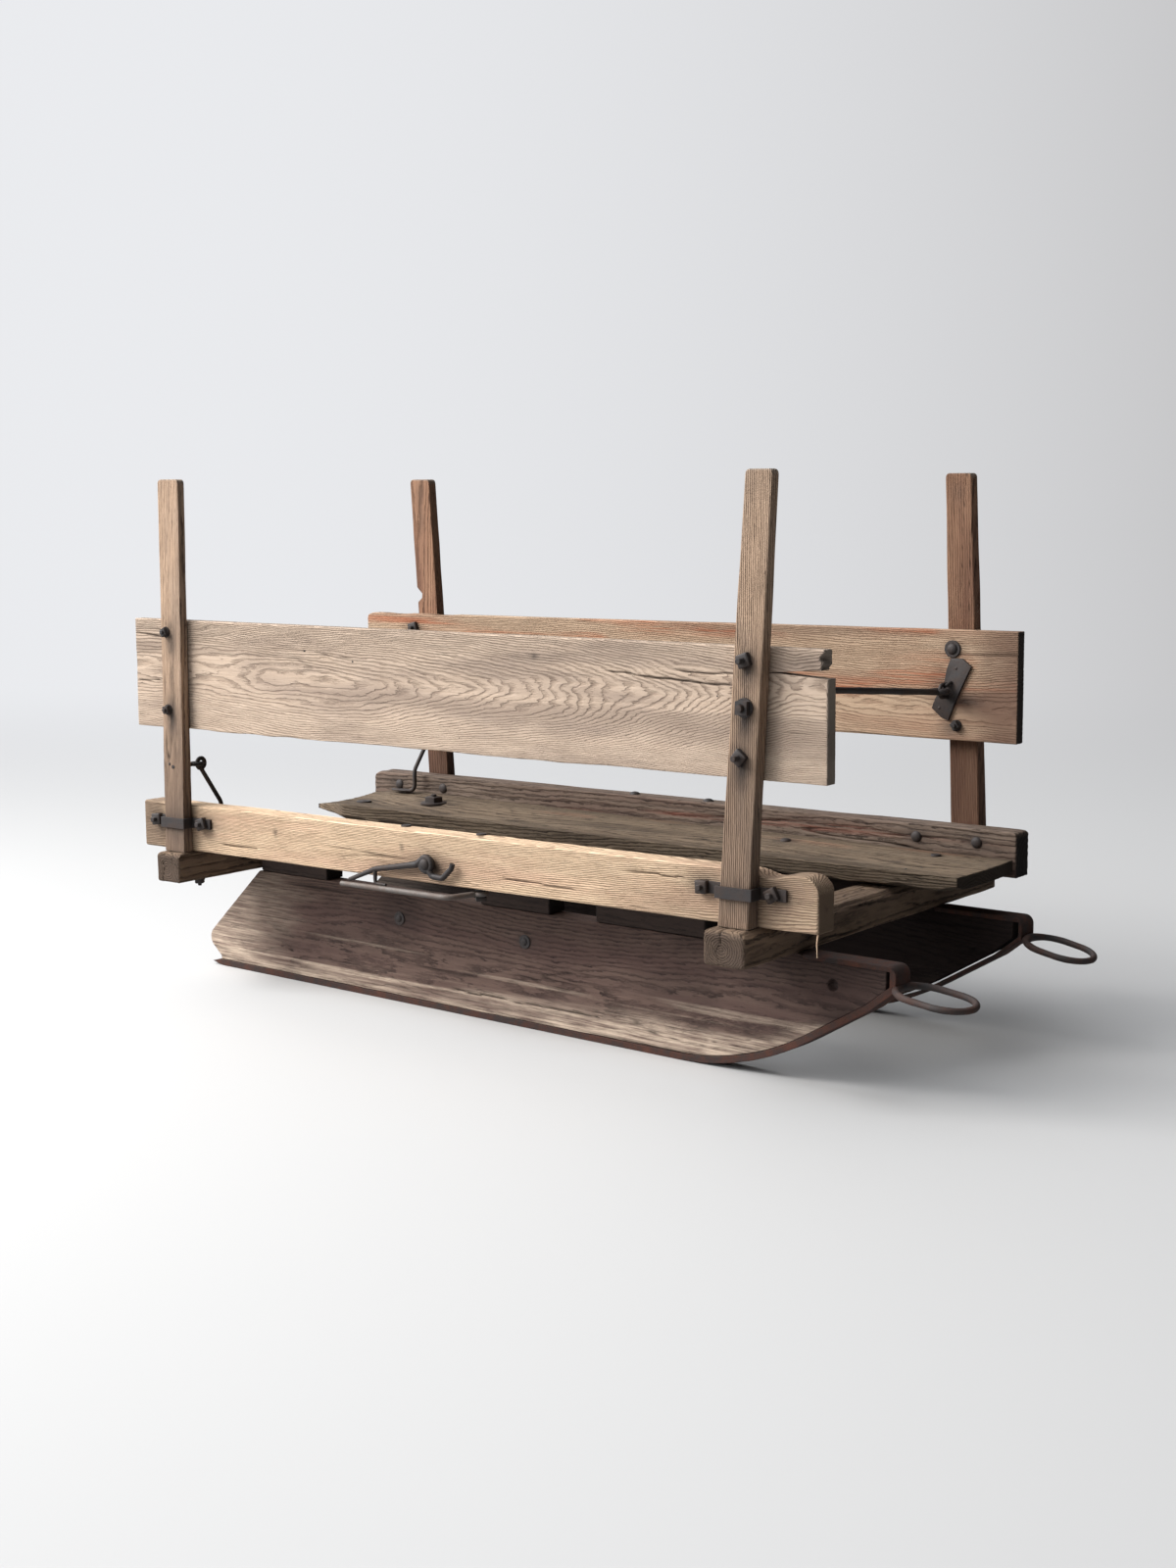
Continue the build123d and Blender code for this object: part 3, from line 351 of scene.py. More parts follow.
def iron_material(name, base, rust, rust_share, metallic, rough=0.58):
    n = Nodes(bpy.data.materials.new(name))
    place = n.add("ShaderNodeTexCoord").outputs["Object"]
    patches = n.noise(place, 45.0, 5.0, 0.65)
    pits = n.noise(place, 420.0, 3.0, 0.6)
    broad = n.noise(place, 9.0, 3.0, 0.5)
    share = n.plus(n.times(n.ramp(patches, 0.42, 0.66), rust_share),
                   n.times(n.ramp(broad, 0.45, 0.7), rust_share * 0.6), clamp=True)
    color = n.mix(share, base, rust)
    color = n.mix(n.times(n.ramp(pits, 0.5, 0.75), 0.5), color, tuple(v * 0.45 for v in base))
    bump = n.add("ShaderNodeBump", {
        "Strength": 0.4, "Distance": 0.0006, "Height": n.plus(pits, n.times(patches, 1.5))})
    n.show(n.add("ShaderNodeBsdfPrincipled", {
        "Base Color": color, "Roughness": n.plus(rough, n.times(share, 0.3), clamp=True),
        "Metallic": metallic, "Normal": bump.outputs[0]}))
    return n.owner


def paint(piece, material):
    piece.data.materials.clear()
    piece.data.materials.append(material)


# Pale, middle, dark and band colours, share of bands, strength of dark lines, then the rest
wood = {kind: wood_material(f"{kind}_wood", *colors, **looks) for kind, colors, looks in (
    ("near_board", ((0.60, 0.47, 0.365), (0.42, 0.31, 0.23), (0.15, 0.105, 0.08),
                    (0.33, 0.25, 0.20), 0.75, 0.7),
     {"bump": 1.0, "dim": (0.25, 0.185, 0.145), "wobble": 0.4}),
    ("far_board", ((0.56, 0.41, 0.285), (0.36, 0.235, 0.155), (0.15, 0.085, 0.052),
                   (0.36, 0.20, 0.13), 0.6, 0.6),
     {"end": (0.035, 0.026, 0.022), "end_share": 0.97, "dim": (0.15, 0.085, 0.06), "bump": 0.9,
      "red": (0.42, 0.12, 0.05)}),
    ("near_rail", ((0.97, 0.73, 0.50), (0.60, 0.405, 0.26), (0.20, 0.12, 0.075),
                   (0.72, 0.44, 0.31), 0.5, 0.9),
     {"end": (0.19, 0.13, 0.088), "end_share": 0.85, "wobble": 0.35, "bump": 1.1,
      "dim": (0.20, 0.14, 0.10)}),
    ("far_rail", ((0.22, 0.165, 0.128), (0.11, 0.077, 0.06), (0.024, 0.016, 0.013),
                  (0.12, 0.07, 0.056), 0.5, 0.95),
     {"end": (0.018, 0.015, 0.014), "end_share": 0.97, "bump": 1.0,
      "red": (0.22, 0.065, 0.042)}),
    ("deck", ((0.26, 0.193, 0.132), (0.13, 0.093, 0.063), (0.026, 0.018, 0.014),
              (0.17, 0.133, 0.097), 0.5, 1.0),
     {"bump": 1.2, "dim": (0.06, 0.042, 0.03), "end": (0.035, 0.025, 0.018), "end_share": 0.9}),
    # The runners' nearly black dim colour carries painted shade
    ("runner", ((0.168, 0.11, 0.088), (0.08, 0.049, 0.041), (0.02, 0.013, 0.012),
                (0.10, 0.057, 0.05), 0.6, 0.75),
     {"end": (0.04, 0.028, 0.024), "bump": 0.7, "worn": (0.66, 0.52, 0.40),
      "dim": (0.007, 0.005, 0.005)}),
    ("near_stake", ((0.59, 0.41, 0.285), (0.29, 0.195, 0.133), (0.06, 0.037, 0.027),
                    (0.33, 0.25, 0.195), 0.5, 1.0),
     {"dim": (0.11, 0.074, 0.056), "wobble": 0.3, "bump": 1.0}),
    ("far_stake", ((0.36, 0.205, 0.13), (0.185, 0.095, 0.056), (0.045, 0.025, 0.018),
                   (0.13, 0.058, 0.04), 0.55, 0.7),
     {"dim": (0.06, 0.032, 0.023), "wobble": 0.3, "bump": 0.8}),
    ("beam", ((0.29, 0.20, 0.135), (0.14, 0.095, 0.065), (0.03, 0.021, 0.017),
              (0.10, 0.07, 0.055), 0.4, 0.9),
     {"end": (0.065, 0.045, 0.036), "end_share": 0.7, "bump": 1.2}),
    ("block", ((0.05, 0.034, 0.028), (0.03, 0.02, 0.017), (0.012, 0.009, 0.008),
               (0.04, 0.028, 0.024), 0.4, 0.6),
     {"end": (0.01, 0.008, 0.008), "end_share": 0.9}),
)}
iron = {kind: iron_material(f"{kind}_iron", *look) for kind, look in (
    ("dark", ((0.034, 0.03, 0.03), (0.085, 0.048, 0.031), 0.35, 0.35)),
    ("nail", ((0.02, 0.016, 0.015), (0.05, 0.025, 0.018), 0.3, 0.2)),
    ("grey", ((0.15, 0.135, 0.125), (0.15, 0.09, 0.06), 0.4, 0.35)),
    ("ring", ((0.038, 0.032, 0.031), (0.11, 0.05, 0.033), 0.5, 0.2, 0.62)),
    ("shoe", ((0.034, 0.021, 0.018), (0.115, 0.045, 0.029), 0.65, 0.15, 0.8)),
)}

# Timbers, sizes in millimetres along the grain, across and through
STAKE_HEIGHT, STAKE_WIDTH, STAKE_THICK, HEAD_R = 733.0, 60.0, 33.0, 9.0
RACK_WIDTH, RAIL_LENGTH = 689.0, 1555.0
# Side, share of the height, then place, width and thickness at the foot and at the head
STAKES = {
    "near_rear": ("near", 0.989, (0.0646, 0.90, 0.76), (0.0666, 0.95, 0.55)),
    "near_front": ("near", 1.0, (0.9042, 1.0, 0.91), (0.9299, 0.87, 0.64)),
    "far_rear": ("far", 0.988, (0.1125, 0.92, 0.82), (0.0820, 0.92, 0.73)),
    "far_front": ("far", 0.993, (0.9351, 1.0, 1.0), (0.9168, 0.90, 0.78)),
}


def stake_at(name, height):
    side, share, foot, head = STAKES[name]
    part = height / (share * STAKE_HEIGHT)
    return [(foot[k] + (head[k] - foot[k]) * part) * size
            for k, size in enumerate((RAIL_LENGTH, STAKE_WIDTH, STAKE_THICK))]


def make_stake(name, seed, stains, pith, foot_darkening):
    side, share = STAKES[name][:2]
    length = share * STAKE_HEIGHT - REST_GAP * 2

    def warp(p):
        x, y, z = p.T
        centre, width, thick = stake_at(name, x)
        off = np.clip(np.abs(y - STAKE_WIDTH / 2) - (STAKE_WIDTH / 2 - HEAD_R), 0, HEAD_R)
        up = x * (1 - (HEAD_R - np.sqrt(HEAD_R ** 2 - off ** 2)) / length)
        swell = 1 - 0.012 * (1 + noise(p * (1, 0, 0) + 3, (110, 50, 50), seed + 50))
        along = centre + (y / STAKE_WIDTH - 0.5) * width * swell
        out = z / STAKE_THICK * thick
        out = -thick + out if side == "near" else RACK_WIDTH + REST_GAP + out
        if name == "far_rear":
            heights = [k * STAKE_HEIGHT for k in (0.628, 0.64, 0.657, 0.676)]
            bite = np.interp(x, heights, [0, 12, 14, 0])
            along = along + bite * (1 - np.clip(y / STAKE_WIDTH * 1.6, 0, 1))
        return np.stack([up + REST_GAP, along, out], 1)

    # Darker towards the foot
    def dim(p):
        low, high, strength, drift_seed = foot_darkening
        drift = 60 * noise(p, (190, 22, 22), drift_seed)
        return strength * (1 - smooth(low, high, p[:, 0] + drift))

    out = -20 if side == "near" else RACK_WIDTH + 20
    timber(f"{name}_stake", f"stake_{name}", RACK @ UPRIGHT, (length, STAKE_WIDTH, STAKE_THICK),
           (6.5, 2.0, 2.2), 4.6,
           {"seed": seed, "pith": pith, "ring": 3.2, "depth": 0.4, "check": 1.2, "hollow": 0.8,
            "wander": 5, "fibre": 0.3, "check_run": 420, "dim": dim, "ripple": 1.0},
           warp, f"{side}_stake", across=1,
           stains=[(height, stake_at(name, height)[0], out, along, reach, 40, strength)
                   for height, along, reach, strength in stains],
           dense=((length * 0.612, length * 0.69, 2.2),) if name == "far_rear" else ())


make_stake("near_rear", 11, ((268, 44, 15, 1.0), (418, 40, 14, 1.0), (355, 60, 8, 0.5),
                             (55, 26, 40, 0.8)), (-50, 40), (60, 420, 0.75, 811))
make_stake("near_front", 12, ((264, 44, 18, 1.1), (340, 44, 18, 1.1), (424, 38, 18, 1.1),
                              (55, 26, 40, 0.6)), (1545, 30), (120, 520, 0.6, 812))
make_stake("far_rear", 13, ((700, 40, 12, 0.6), (640, 30, 9, 0.5)), (120, 760),
           (80, 300, 0.9, 813))
make_stake("far_front", 14, ((690, 20, 20, 0.4),), (1560, 720), (170, 640, 0.6, 814))


def corner_drop(along, radius):
    inside = np.clip(radius - along, 0, radius)
    return radius - np.sqrt(radius ** 2 - inside ** 2)


NEAR_RAIL, FAR_RAIL, FAR_RAIL_Y = (1561.2, 50.8, 91.8), (1555, 51, 84.8), 638


def rail_warp(size, x, y, tail_r, nose_r, dip=0):
    length, _, height = size

    def warp(p):
        top = height - corner_drop(p[:, 0], tail_r) - corner_drop(length - p[:, 0], nose_r)
        top = top - dip * bell(p[:, 0], length - 92, 27)
        return np.stack([p[:, 0] + x, p[:, 1] + y, p[:, 2] * top / height + REST_GAP], 1)
    return warp


# Darker over the rear end, and painted shade growing toward the front, where the light falls off
def near_rail_dim_and_shade(p):
    rear = p[:, 0] + 10 * noise(p, (60, 20, 20), 821)
    front = p[:, 0] + 80 * noise(p, (140, 40, 30), 822)
    return 0.9 * (1 - smooth(30, 80, rear)) + 0.62 * smooth(1050, 1500, front)


def far_rail_red(p):
    return 0.8 * bell(p[:, 2], 52, 20) * smooth(0.1, 0.5, noise(p, (300, 14, 14), 822))


timber(
    "near_rail", "rail_near", RACK, NEAR_RAIL, (8, 2.0, 2.0), 4.6,
    {"seed": 21, "pith": (60, -60), "drift_z": 22, "ring": 2.6, "depth": 0.35, "fibre": 0.45,
     "check": 1.6, "hollow": 1.0, "wander": 6, "bow": 10, "ripple": 1.0, "dim": near_rail_dim_and_shade,
     "cracks": ((196, 22, 300, 20, 1.5), (905, 26, 1100, 22, 1.6), (1150, 66, 1290, 68, 1.5))},
    rail_warp(NEAR_RAIL, -12.44, REST_GAP, 4.5, 30.0, 9), "near_rail",
    stains=((742, -10, 30, 56, 40, 26, 0.95), (690, -10, 18, 80, 40, 16, 0.7),
            (40, -10, 52, 34, 40, 26, 0.6), (165, -10, 52, 40, 40, 26, 0.75),
            (1336, -10, 60, 40, 40, 20, 0.85), (1470, -10, 56, 36, 40, 22, 0.7),
            (105, -4, 60, 60, 10, 60, 0.5), (1415, -4, 60, 60, 10, 60, 0.5),
            (674, 0, 59, 3, 8, 7, 1.0), (351, 0, 57, 3, 8, 8, 1.0)))
timber(
    "far_rail", "rail_far", RACK, FAR_RAIL, (8, 2.0, 1.7), 5.0,
    {"seed": 22, "pith": (700, 10), "drift_z": 15, "ring": 5.5, "depth": 1.3, "fibre": 0.5,
     "check": 4.5, "check_run": 420, "hollow": 1.6, "wander": 7, "bow": 12, "ripple": 1.2,
     "red": far_rail_red, "tail_end": 0.4},
    rail_warp(FAR_RAIL, 26.4, FAR_RAIL_Y, 18.0, 9.0), "far_rail",
    stains=[(u, FAR_RAIL_Y - 6, z, 26, 18, 15, 0.8)
            for u, z in ((94, 62), (224, 61), (1378, 64), (1501, 59))])

# The near board's split, its strip above ending short and ragged
NEAR_BOARD, FAR_BOARD = (1583.92, 26, 213), (1572.8, 26, 203.84)
BOARD_Z, FAR_BOARD_Y, FAR_BOARD_RISE = 241, 663, 11.29
SPLIT_SHARE, SPLIT_START = 0.80, 1440


def split(full, sx, sz):
    k = int(np.searchsorted(sz, NEAR_BOARD[2] * SPLIT_SHARE))
    i = int(np.searchsorted(sx, SPLIT_START))
    full[i:, :, k] = False
    split.row = (sz[k], sz[k + 1], sx[i])


def board_warp(p):
    x, y, z = p.T
    low, high, start = split.row
    away = z - (low + high) / 2
    opening = np.interp(x, [start, 1489, 1571], [0.8, 1.6, 12.5])
    beyond = x > start - 1
    outside = np.maximum(np.abs(away) - (high - low) / 2, 0)
    spread = np.sign(away) * (opening - (high - low)) / 2 * bell(outside, 0, 16)
    spread = spread + 1.5 * along_noise(p, 60, 77) * bell(away, 0, 20)
    up = z + np.where(beyond, spread, 0)
    up = up + 1.2 * along_noise(p, 46, 78) * np.clip(1 - z / 14, 0, 1)
    ragged = 11 + 7 * noise(p * (0, 1, 1), (9, 9, 11), 79)
    back = np.where((away > 0) & beyond, ragged * np.clip((x - 1500) / 84, 0, 1), 0)
    return np.stack([x - 21.61 - back, y + REST_GAP, up + BOARD_Z], 1)


def board_bands(p):
    return 0.55 * smooth(0.25, 0.75, noise(p + 9, (900, 60, 34), 831))


timber(
    "near_board", "side_board_near", RACK, NEAR_BOARD, (7.5, 4.0, 1.7), 3.6,
    {"seed": 31, "pith": (110, 352), "drift_y": -14, "drift_z": 16, "ring": 2.3, "depth": 0.42,
     "fibre": 0.5, "check": 1.6, "hollow": 1.2, "wander": 9, "bow": 14, "ripple": 1.7,
     "slant": ((300, 1500, 0.07),), "dim": board_bands,
     "cracks": ((1136, 402, 1216, 396, 1.7), (1210, 397, 1300, 393, 2.4),
                (1290, 394, 1385, 388, 2.4), (1270, 409, 1430, 406, 1.6),
                (-20, 424, 60, 419, 1.5), (-18, 330, 48, 333, 1.3))},
    board_warp, "near_board", split,
    stains=[(82, 0, 424, 90, 14, 26, 0.4), (90, 0, 340, 60, 14, 40, 0.35),
            (1420, 0, 350, 50, 14, 90, 0.35), (982, 0, 420, 8, 10, 5, 1.0),
            (1530, 13, 430, 60, 20, 14, 0.5)])


def far_board_warp(p):
    x, y, z = p.T
    height = FAR_BOARD[2] - FAR_BOARD_RISE * (1 - x / FAR_BOARD[0]) - corner_drop(x, 14.0)
    lift = 1.6 * along_noise(p, 70, 83) * np.clip(1 - z / 16, 0, 1) * (z > 0.5)
    return np.stack([x - 7.93, y + FAR_BOARD_Y, z * height / FAR_BOARD[2] + BOARD_Z + lift], 1)


def far_board_red(p):
    x, y, z = p.T
    top = bell(z, 424, 14) * smooth(640, 760, x) * (1 - smooth(960, 1120, x))
    plate = bell(x, 1450, 120) * bell(z, 340, 80)
    drift = 0.65 + 0.6 * noise(p, (60, 30, 14), 832)
    patch = smooth(0.25, 0.6, noise(p, (150, 50, 20), 836))
    return (0.95 * top * drift + 0.8 * plate * smooth(-0.1, 0.5, noise(p, (90, 40, 22), 833))
            + 0.8 * patch)


# A stained front end, a painted shadow of the bracket plate just in front of and below it, and
# random darker patches
def far_board_stain_and_shadow(p):
    x, y, z = p.T
    front = smooth(1470, 1560, x + 24 * noise(p, (50, 30, 30), 834))
    plate = bell(x, 1500, 60) * bell(z, 310, 26)
    return 0.85 * front + 0.6 * plate + 0.4 * smooth(0.2, 0.7, noise(p, (500, 60, 40), 835))


timber(
    "far_board", "side_board_far", RACK, FAR_BOARD, (10, 4.0, 2.2), 4.0,
    {"seed": 32, "pith": (730, 330), "drift_y": -10, "drift_z": -16, "ring": 3.2, "depth": 0.5,
     "fibre": 0.35, "check": 1.4, "hollow": 0.9, "wander": 15, "bow": 18,
     "red": far_board_red, "dim": far_board_stain_and_shadow, "tail_end": 0.4,
     "cracks": ((30, 436, 240, 434, 1.6),)},
    far_board_warp, "far_board",
    stains=((1462, 660, 316, 34, 14, 17, 0.9), (1436, 660, 262, 26, 14, 18, 0.8),
            (1418, 660, 335, 30, 14, 30, 0.7), (1440, 660, 400, 22, 14, 20, 0.6),
            (130, 660, 404, 26, 14, 16, 0.7)))

# The deck board is cupped, broken at its rear corner and narrower toward its front
DECK_LENGTH, DECK_WIDTH, DECK_THICK = 1541.94, 240, 33
DECK_START, DECK_SIDE, DECK_CUP, CUP_LOSS = 33, 397.8, 18, 0.84


def deck_warp(p):
    x, y, z = p.T
    place = x + DECK_START
    cut = np.interp(place, [33, 39.2, 77.7, 153.3, 1574.9], [46, 45.6, 36, 0, 24])
    broken = (place > 34) & (place < 175)
    cut = cut + np.where(broken, 2.2 * (1 + along_noise(p, 13, 91)), 0)
    wide = cut + y / DECK_WIDTH * (DECK_WIDTH - cut)
    cup = DECK_CUP * (1 - CUP_LOSS * x / DECK_LENGTH) * (0.4 + 0.6 * smooth(0, 90, x))
    rise = cup * ((wide - DECK_WIDTH / 2) / (DECK_WIDTH / 2)) ** 2
    near = np.clip(1 - y / 30, 0, 1)
    chipped = 1.0 - 0.16 * near * (1 + along_noise(p, 34, 92))
    slant = 6 * (1 - y / DECK_WIDTH) * np.exp(-x / 40)
    thin = 1 - 0.62 * bell(x, 0, 62) * (1 - smooth(50, 150, y))
    thin = thin - 0.22 * smooth(1495, 1541, x)
    down = (DECK_THICK - z) * chipped * thin
    return np.stack([place + slant, wide + DECK_SIDE, REST_GAP + rise + DECK_THICK - down], 1)


def deck_red(p):
    return 0.3 * smooth(0.2, 0.6, noise(p, (200, 30, 30), 842)) * smooth(560, 620, p[:, 1])


# Random darker patches, and painted shade along the far edge beside the far board
def deck_patches_and_shade(p):
    patch = smooth(0.0, 0.6, noise(p, (260, 55, 55), 843))
    return 0.55 * patch + 0.5 * smooth(600, 636, p[:, 1])


timber(
    "deck_plank", "deck_board", RACK, (DECK_LENGTH, DECK_WIDTH, DECK_THICK), (10, 2.9, 3.2), 4.5,
    {"seed": 41, "pith": (520, -110), "drift_y": -20, "ring": 5, "depth": 0.7, "fibre": 0.5,
     "check": 1.6, "hollow": 1.4, "wander": 12, "bow": 20, "red": deck_red, "dim": deck_patches_and_shade,
     "cracks": ((40, 579, 150, 573, 1.8), (90, 610, 380, 607, 1.8), (60, 446, 200, 440, 1.6),
                (1400, 470, 1572, 476, 2.0), (1300, 560, 1572, 552, 1.6))},
    deck_warp, "deck", across=1,
    stains=((250, 580, 45, 60, 44, 30, 0.7), (94, 530, 40, 34, 24, 20, 0.7),
            (1125, 590, 38, 30, 22, 20, 0.8), (1405, 516, 36, 16, 7, 9, 1.0),
            (1438, 603, 36, 14, 7, 9, 1.0), (1458, 452, 36, 9, 5, 9, 0.9),
            (1471, 486, 36, 9, 5, 9, 0.9), (120, 636, 50, 60, 18, 20, 0.8)))


# Beams have local axes grain, height and width
BEAM_LENGTH, BEAM_HEIGHT, END_BEVEL = 889.98, 59, 9


def make_beam(name, start, width, overhang, bevel, seed, crack):
    def warp(p):
        x, y, z = p.T
        top = np.clip(y + z - (BEAM_HEIGHT + width - bevel), 0, None) / 2
        end = np.clip(y - x - (BEAM_HEIGHT - END_BEVEL), 0, None) / 2
        return np.stack([x - overhang + end, y - BEAM_HEIGHT - top - end, z + start - top], 1)

    timber(
        f"{name}_beam", f"beam_{name}", RACK @ ACROSS, (BEAM_LENGTH, BEAM_HEIGHT, width),
        (8, 2.0, 2.0), 6.5,
        {"seed": seed, "pith": (-30, start + width * 0.45), "ring": 4.4, "depth": 0.6,
         "fibre": 0.45, "check": 2.6, "hollow": 1.5, "wander": 6, "cracks": (crack,), "jag": 5},
        warp, "beam")


make_beam("rear", 67.95, 64.0, 44.5, 0, 51, (-46, 90, 40, 93, 1.6))
make_beam("front", 1367.0, 80.0, 57.49, 12, 52, (-59, 1399, 70, 1394, 2.6))

FAR_RUNNER_Y, RUNNER_WIDTH, BLOCK_HEIGHT = 486.985, 46, 58.8
for side, y0, first_seed in (("near", 0.0, 60), ("far", FAR_RUNNER_Y, 67)):
    for number, (name, start, length) in enumerate((
            ("rear", 125.0, 188.2), ("middle", 719.0, 166.1), ("front", 991.9, 241.0))):
        timber(f"{name}_block_{side}", f"block_{name}_{side}", SEAT,
               (length, RUNNER_WIDTH, BLOCK_HEIGHT), (8, 2.8, 2.8), 4.0,
               {"seed": first_seed + number, "pith": (23, 20), "ring": 4, "depth": 0.5,
                "fibre": 0.4, "check": 1.6, "hollow": 0.9, "wander": 6},
               lambda p, move=(start, y0, REST_GAP): p + move, "block")

# Runners follow their irons along the bow
BEND_START, BEND_R, BEND_ANGLE, SLOPE = 1175.0, 520.0, math.radians(31.0), 136.0
NOSE_X, NOSE_LOW, SHOE_THICK, STRAP_THICK, SEAT_Z = 1609.0, 184.0, 12.0, 8.0, 212.0
TAIL_X, TAIL_TOP_X, STRAP_RUN, FAR_SETBACK = -4.0, 118.0, 178.0, 35.0
HOLE_X, HOLE_Z, HOLE_DEPTH = 1490, 178, 13.0
RUNNER_SIZE = (1640.0, RUNNER_WIDTH, 200.0)
LINE_POINTS = 400


def seat_height(x):
    return SEAT_Z + x * math.tan(math.radians(0.40))


# Arc and knee of the sole's inner line, and the rise of the nose beyond them
def sole_line(inset, slope_gap):
    angles = np.linspace(0, BEND_ANGLE, 14)
    gap = inset + slope_gap * angles / BEND_ANGLE
    points = [(BEND_START + (BEND_R - g) * math.sin(a), BEND_R - (BEND_R - g) * math.cos(a))
              for a, g in zip(angles, gap)]
    knee_x = BEND_START + BEND_R * math.sin(BEND_ANGLE) + SLOPE * math.cos(BEND_ANGLE)
    knee_z = BEND_R - BEND_R * math.cos(BEND_ANGLE) + SLOPE * math.sin(BEND_ANGLE)
    rise = math.atan2(NOSE_LOW - knee_z, NOSE_X - knee_x)
    mitre = (BEND_ANGLE + rise) / 2
    off = (inset + slope_gap) / math.cos((rise - BEND_ANGLE) / 2)
    knee = (knee_x - off * math.sin(mitre), knee_z + off * math.cos(mitre))
    return points, knee, rise


def along_line(points, count):
    points = np.array(points, float)
    run = np.concatenate([[0], np.cumsum(np.linalg.norm(np.diff(points, axis=0), axis=1))])
    at = np.linspace(0, run[-1], count)
    return np.stack([np.interp(at, run, points[:, k]) for k in range(points.shape[1])], 1)


# Points of a line with its corners turned on the radius
def rounded(points, radius, segments=10):
    points = [Vector(q) for q in points]
    radii = radius if isinstance(radius, tuple) else [radius] * (len(points) - 2)
    out = [points[0]]
    for a, b, c, r in zip(points, points[1:], points[2:], radii):
        u, v = (a - b).normalized(), (c - b).normalized()
        angle = u.angle(v)
        reach = r / math.tan(angle / 2)
        centre = b + (u + v).normalized() * (r / math.sin(angle / 2))
        first, last = b + u * reach - centre, b + v * reach - centre
        sweep = math.pi - angle
        for k in range(segments + 1):
            t = k / segments
            out.append(centre + (first * math.sin((1 - t) * sweep)
                                 + last * math.sin(t * sweep)) / math.sin(sweep))
    return out + [points[-1]]


def make_runner(side, y0, setback, thick, slope_gap, seed):
    near = side == "near"
    arc, knee, rise = sole_line(thick, slope_gap)
    nose_x = NOSE_X - SHOE_THICK - 6.0
    nose_z = knee[1] + (nose_x - knee[0]) * math.tan(rise)
    step_x = NOSE_X - STRAP_RUN
    tail_top = seat_height(TAIL_TOP_X - setback)
    step_top = seat_height(step_x - setback)
    nose_top = seat_height(nose_x - setback) - STRAP_THICK
    bottom = [(TAIL_X, thick), (BEND_START, thick)] + arc[1:] + [knee, (nose_x, nose_z)]
    top = [(TAIL_TOP_X, tail_top), (step_x - 1, step_top), (step_x, step_top - STRAP_THICK),
           (nose_x, nose_top)]
    tail = rounded([(TAIL_X, 20.0, 0), (-46.0, 56.0, 0), (TAIL_TOP_X, tail_top, 0)], 22)
    tail = [(TAIL_X, thick)] + [(q.x, q.y) for q in tail]
    nose = [(nose_x, nose_z), (nose_x, nose_top)]
    lines = [along_line(q, LINE_POINTS) for q in (bottom, top, tail, nose)]

    def pick(line, t):
        at = t * (LINE_POINTS - 1)
        return np.stack([np.interp(at, np.arange(LINE_POINTS), line[:, k]) for k in (0, 1)], 1)

    # The block's long section is spread between the four lines
    def warp(p):
        u, v = p[:, 0] / RUNNER_SIZE[0], p[:, 2] / RUNNER_SIZE[2]
        low, high, back, front = (pick(line, t) for line, t in zip(lines, (u, u, v, v)))
        u, v = u[:, None], v[:, None]
        corners = ((1 - u) * (1 - v) * lines[0][0] + u * (1 - v) * lines[0][-1]
                   + (1 - u) * v * lines[1][0] + u * v * lines[1][-1])
        flat = (1 - v) * low + v * high + (1 - u) * back + u * front - corners
        return np.stack([flat[:, 0] - setback, p[:, 1] + y0, flat[:, 1]], 1)

    def hole(p):
        away = np.hypot(p[:, 0] - HOLE_X, p[:, 2] - HOLE_Z)
        pit = (1 - smooth(8.0, 10.5, away)) * (p[:, 1] < RUNNER_WIDTH / 2)
        return p + HOLE_DEPTH * pit[:, None] * (0, 1, 0)

    def worn(p):
        x, y, z = p.T
        front = 16 * smooth(1150, 1600, x) + 60 * smooth(1180, 1600, x)
        low = 1 - smooth(18, 64, z + 26 * noise(p, (190, 60, 24), seed + 71) - front)
        back = 1 - smooth(-10, 170, x - 0.7 * z + 50 * noise(p, (90, 50, 25), seed + 72))
        streak = smooth(0.35, 0.8, noise(p, (420, 30, 6), seed + 73)) * (1 - smooth(60, 150, z))
        return low + back * 0.55 + 0.75 * streak

    # Painted shade: the whole far runner is darkened, and the near runner toward its top under the
    # rail and toward its front, with random patches besides
    def dim(p):
        x, y, z = p.T
        if not near:
            return 1.0 + 0 * x
        patch = smooth(0.1, 0.7, noise(p, (170, 60, 60), seed + 74))
        return (0.32 * smooth(120, 215, z) + 0.28 * smooth(1150, 1500, x)
                + 0.3 * patch * smooth(50, 120, z))

    grain = {"seed": seed, "pith": (y0 + 140, 60), "drift_z": 20, "ring": 5, "depth": 0.5,
             "fibre": 0.35, "check": 1.2, "hollow": 0.7, "wander": 14, "bow": 20,
             "worn": worn, "dim": dim,
             "cracks": ((620, 44, 1010, 47, 1.6), (200, 60, 420, 57, 1.2))}
    if near:
        grain["extra"] = hole
    timber(f"{side}_runner", f"runner_{side}", SLED, RUNNER_SIZE,
           (9, 4.6, 2.2) if near else (14, 6.0, 3.4), 3.6, grain, warp, "runner",
           # Stains round the two bolts, and the pin hole darkened as painted shade in its recess
           stains=((511, 0, 164, 30, 20, 16, 0.5), (827, 0, 161, 30, 20, 16, 0.5),
                   (HOLE_X, 14, HOLE_Z, 9, 12, 9, 1.0)),
           dense=((1490, 1556, 2.0),) if near else ())


make_runner("near", 0.0, 0.0, SHOE_THICK, 0.0, 81)
make_runner("far", FAR_RUNNER_Y, FAR_SETBACK, 7.2, 4.8, 82)


# Forged irons and fastenings, built from rings of points, their bars drawn in at the ends
END_SHARE, END_REACH = 0.55, 0.4


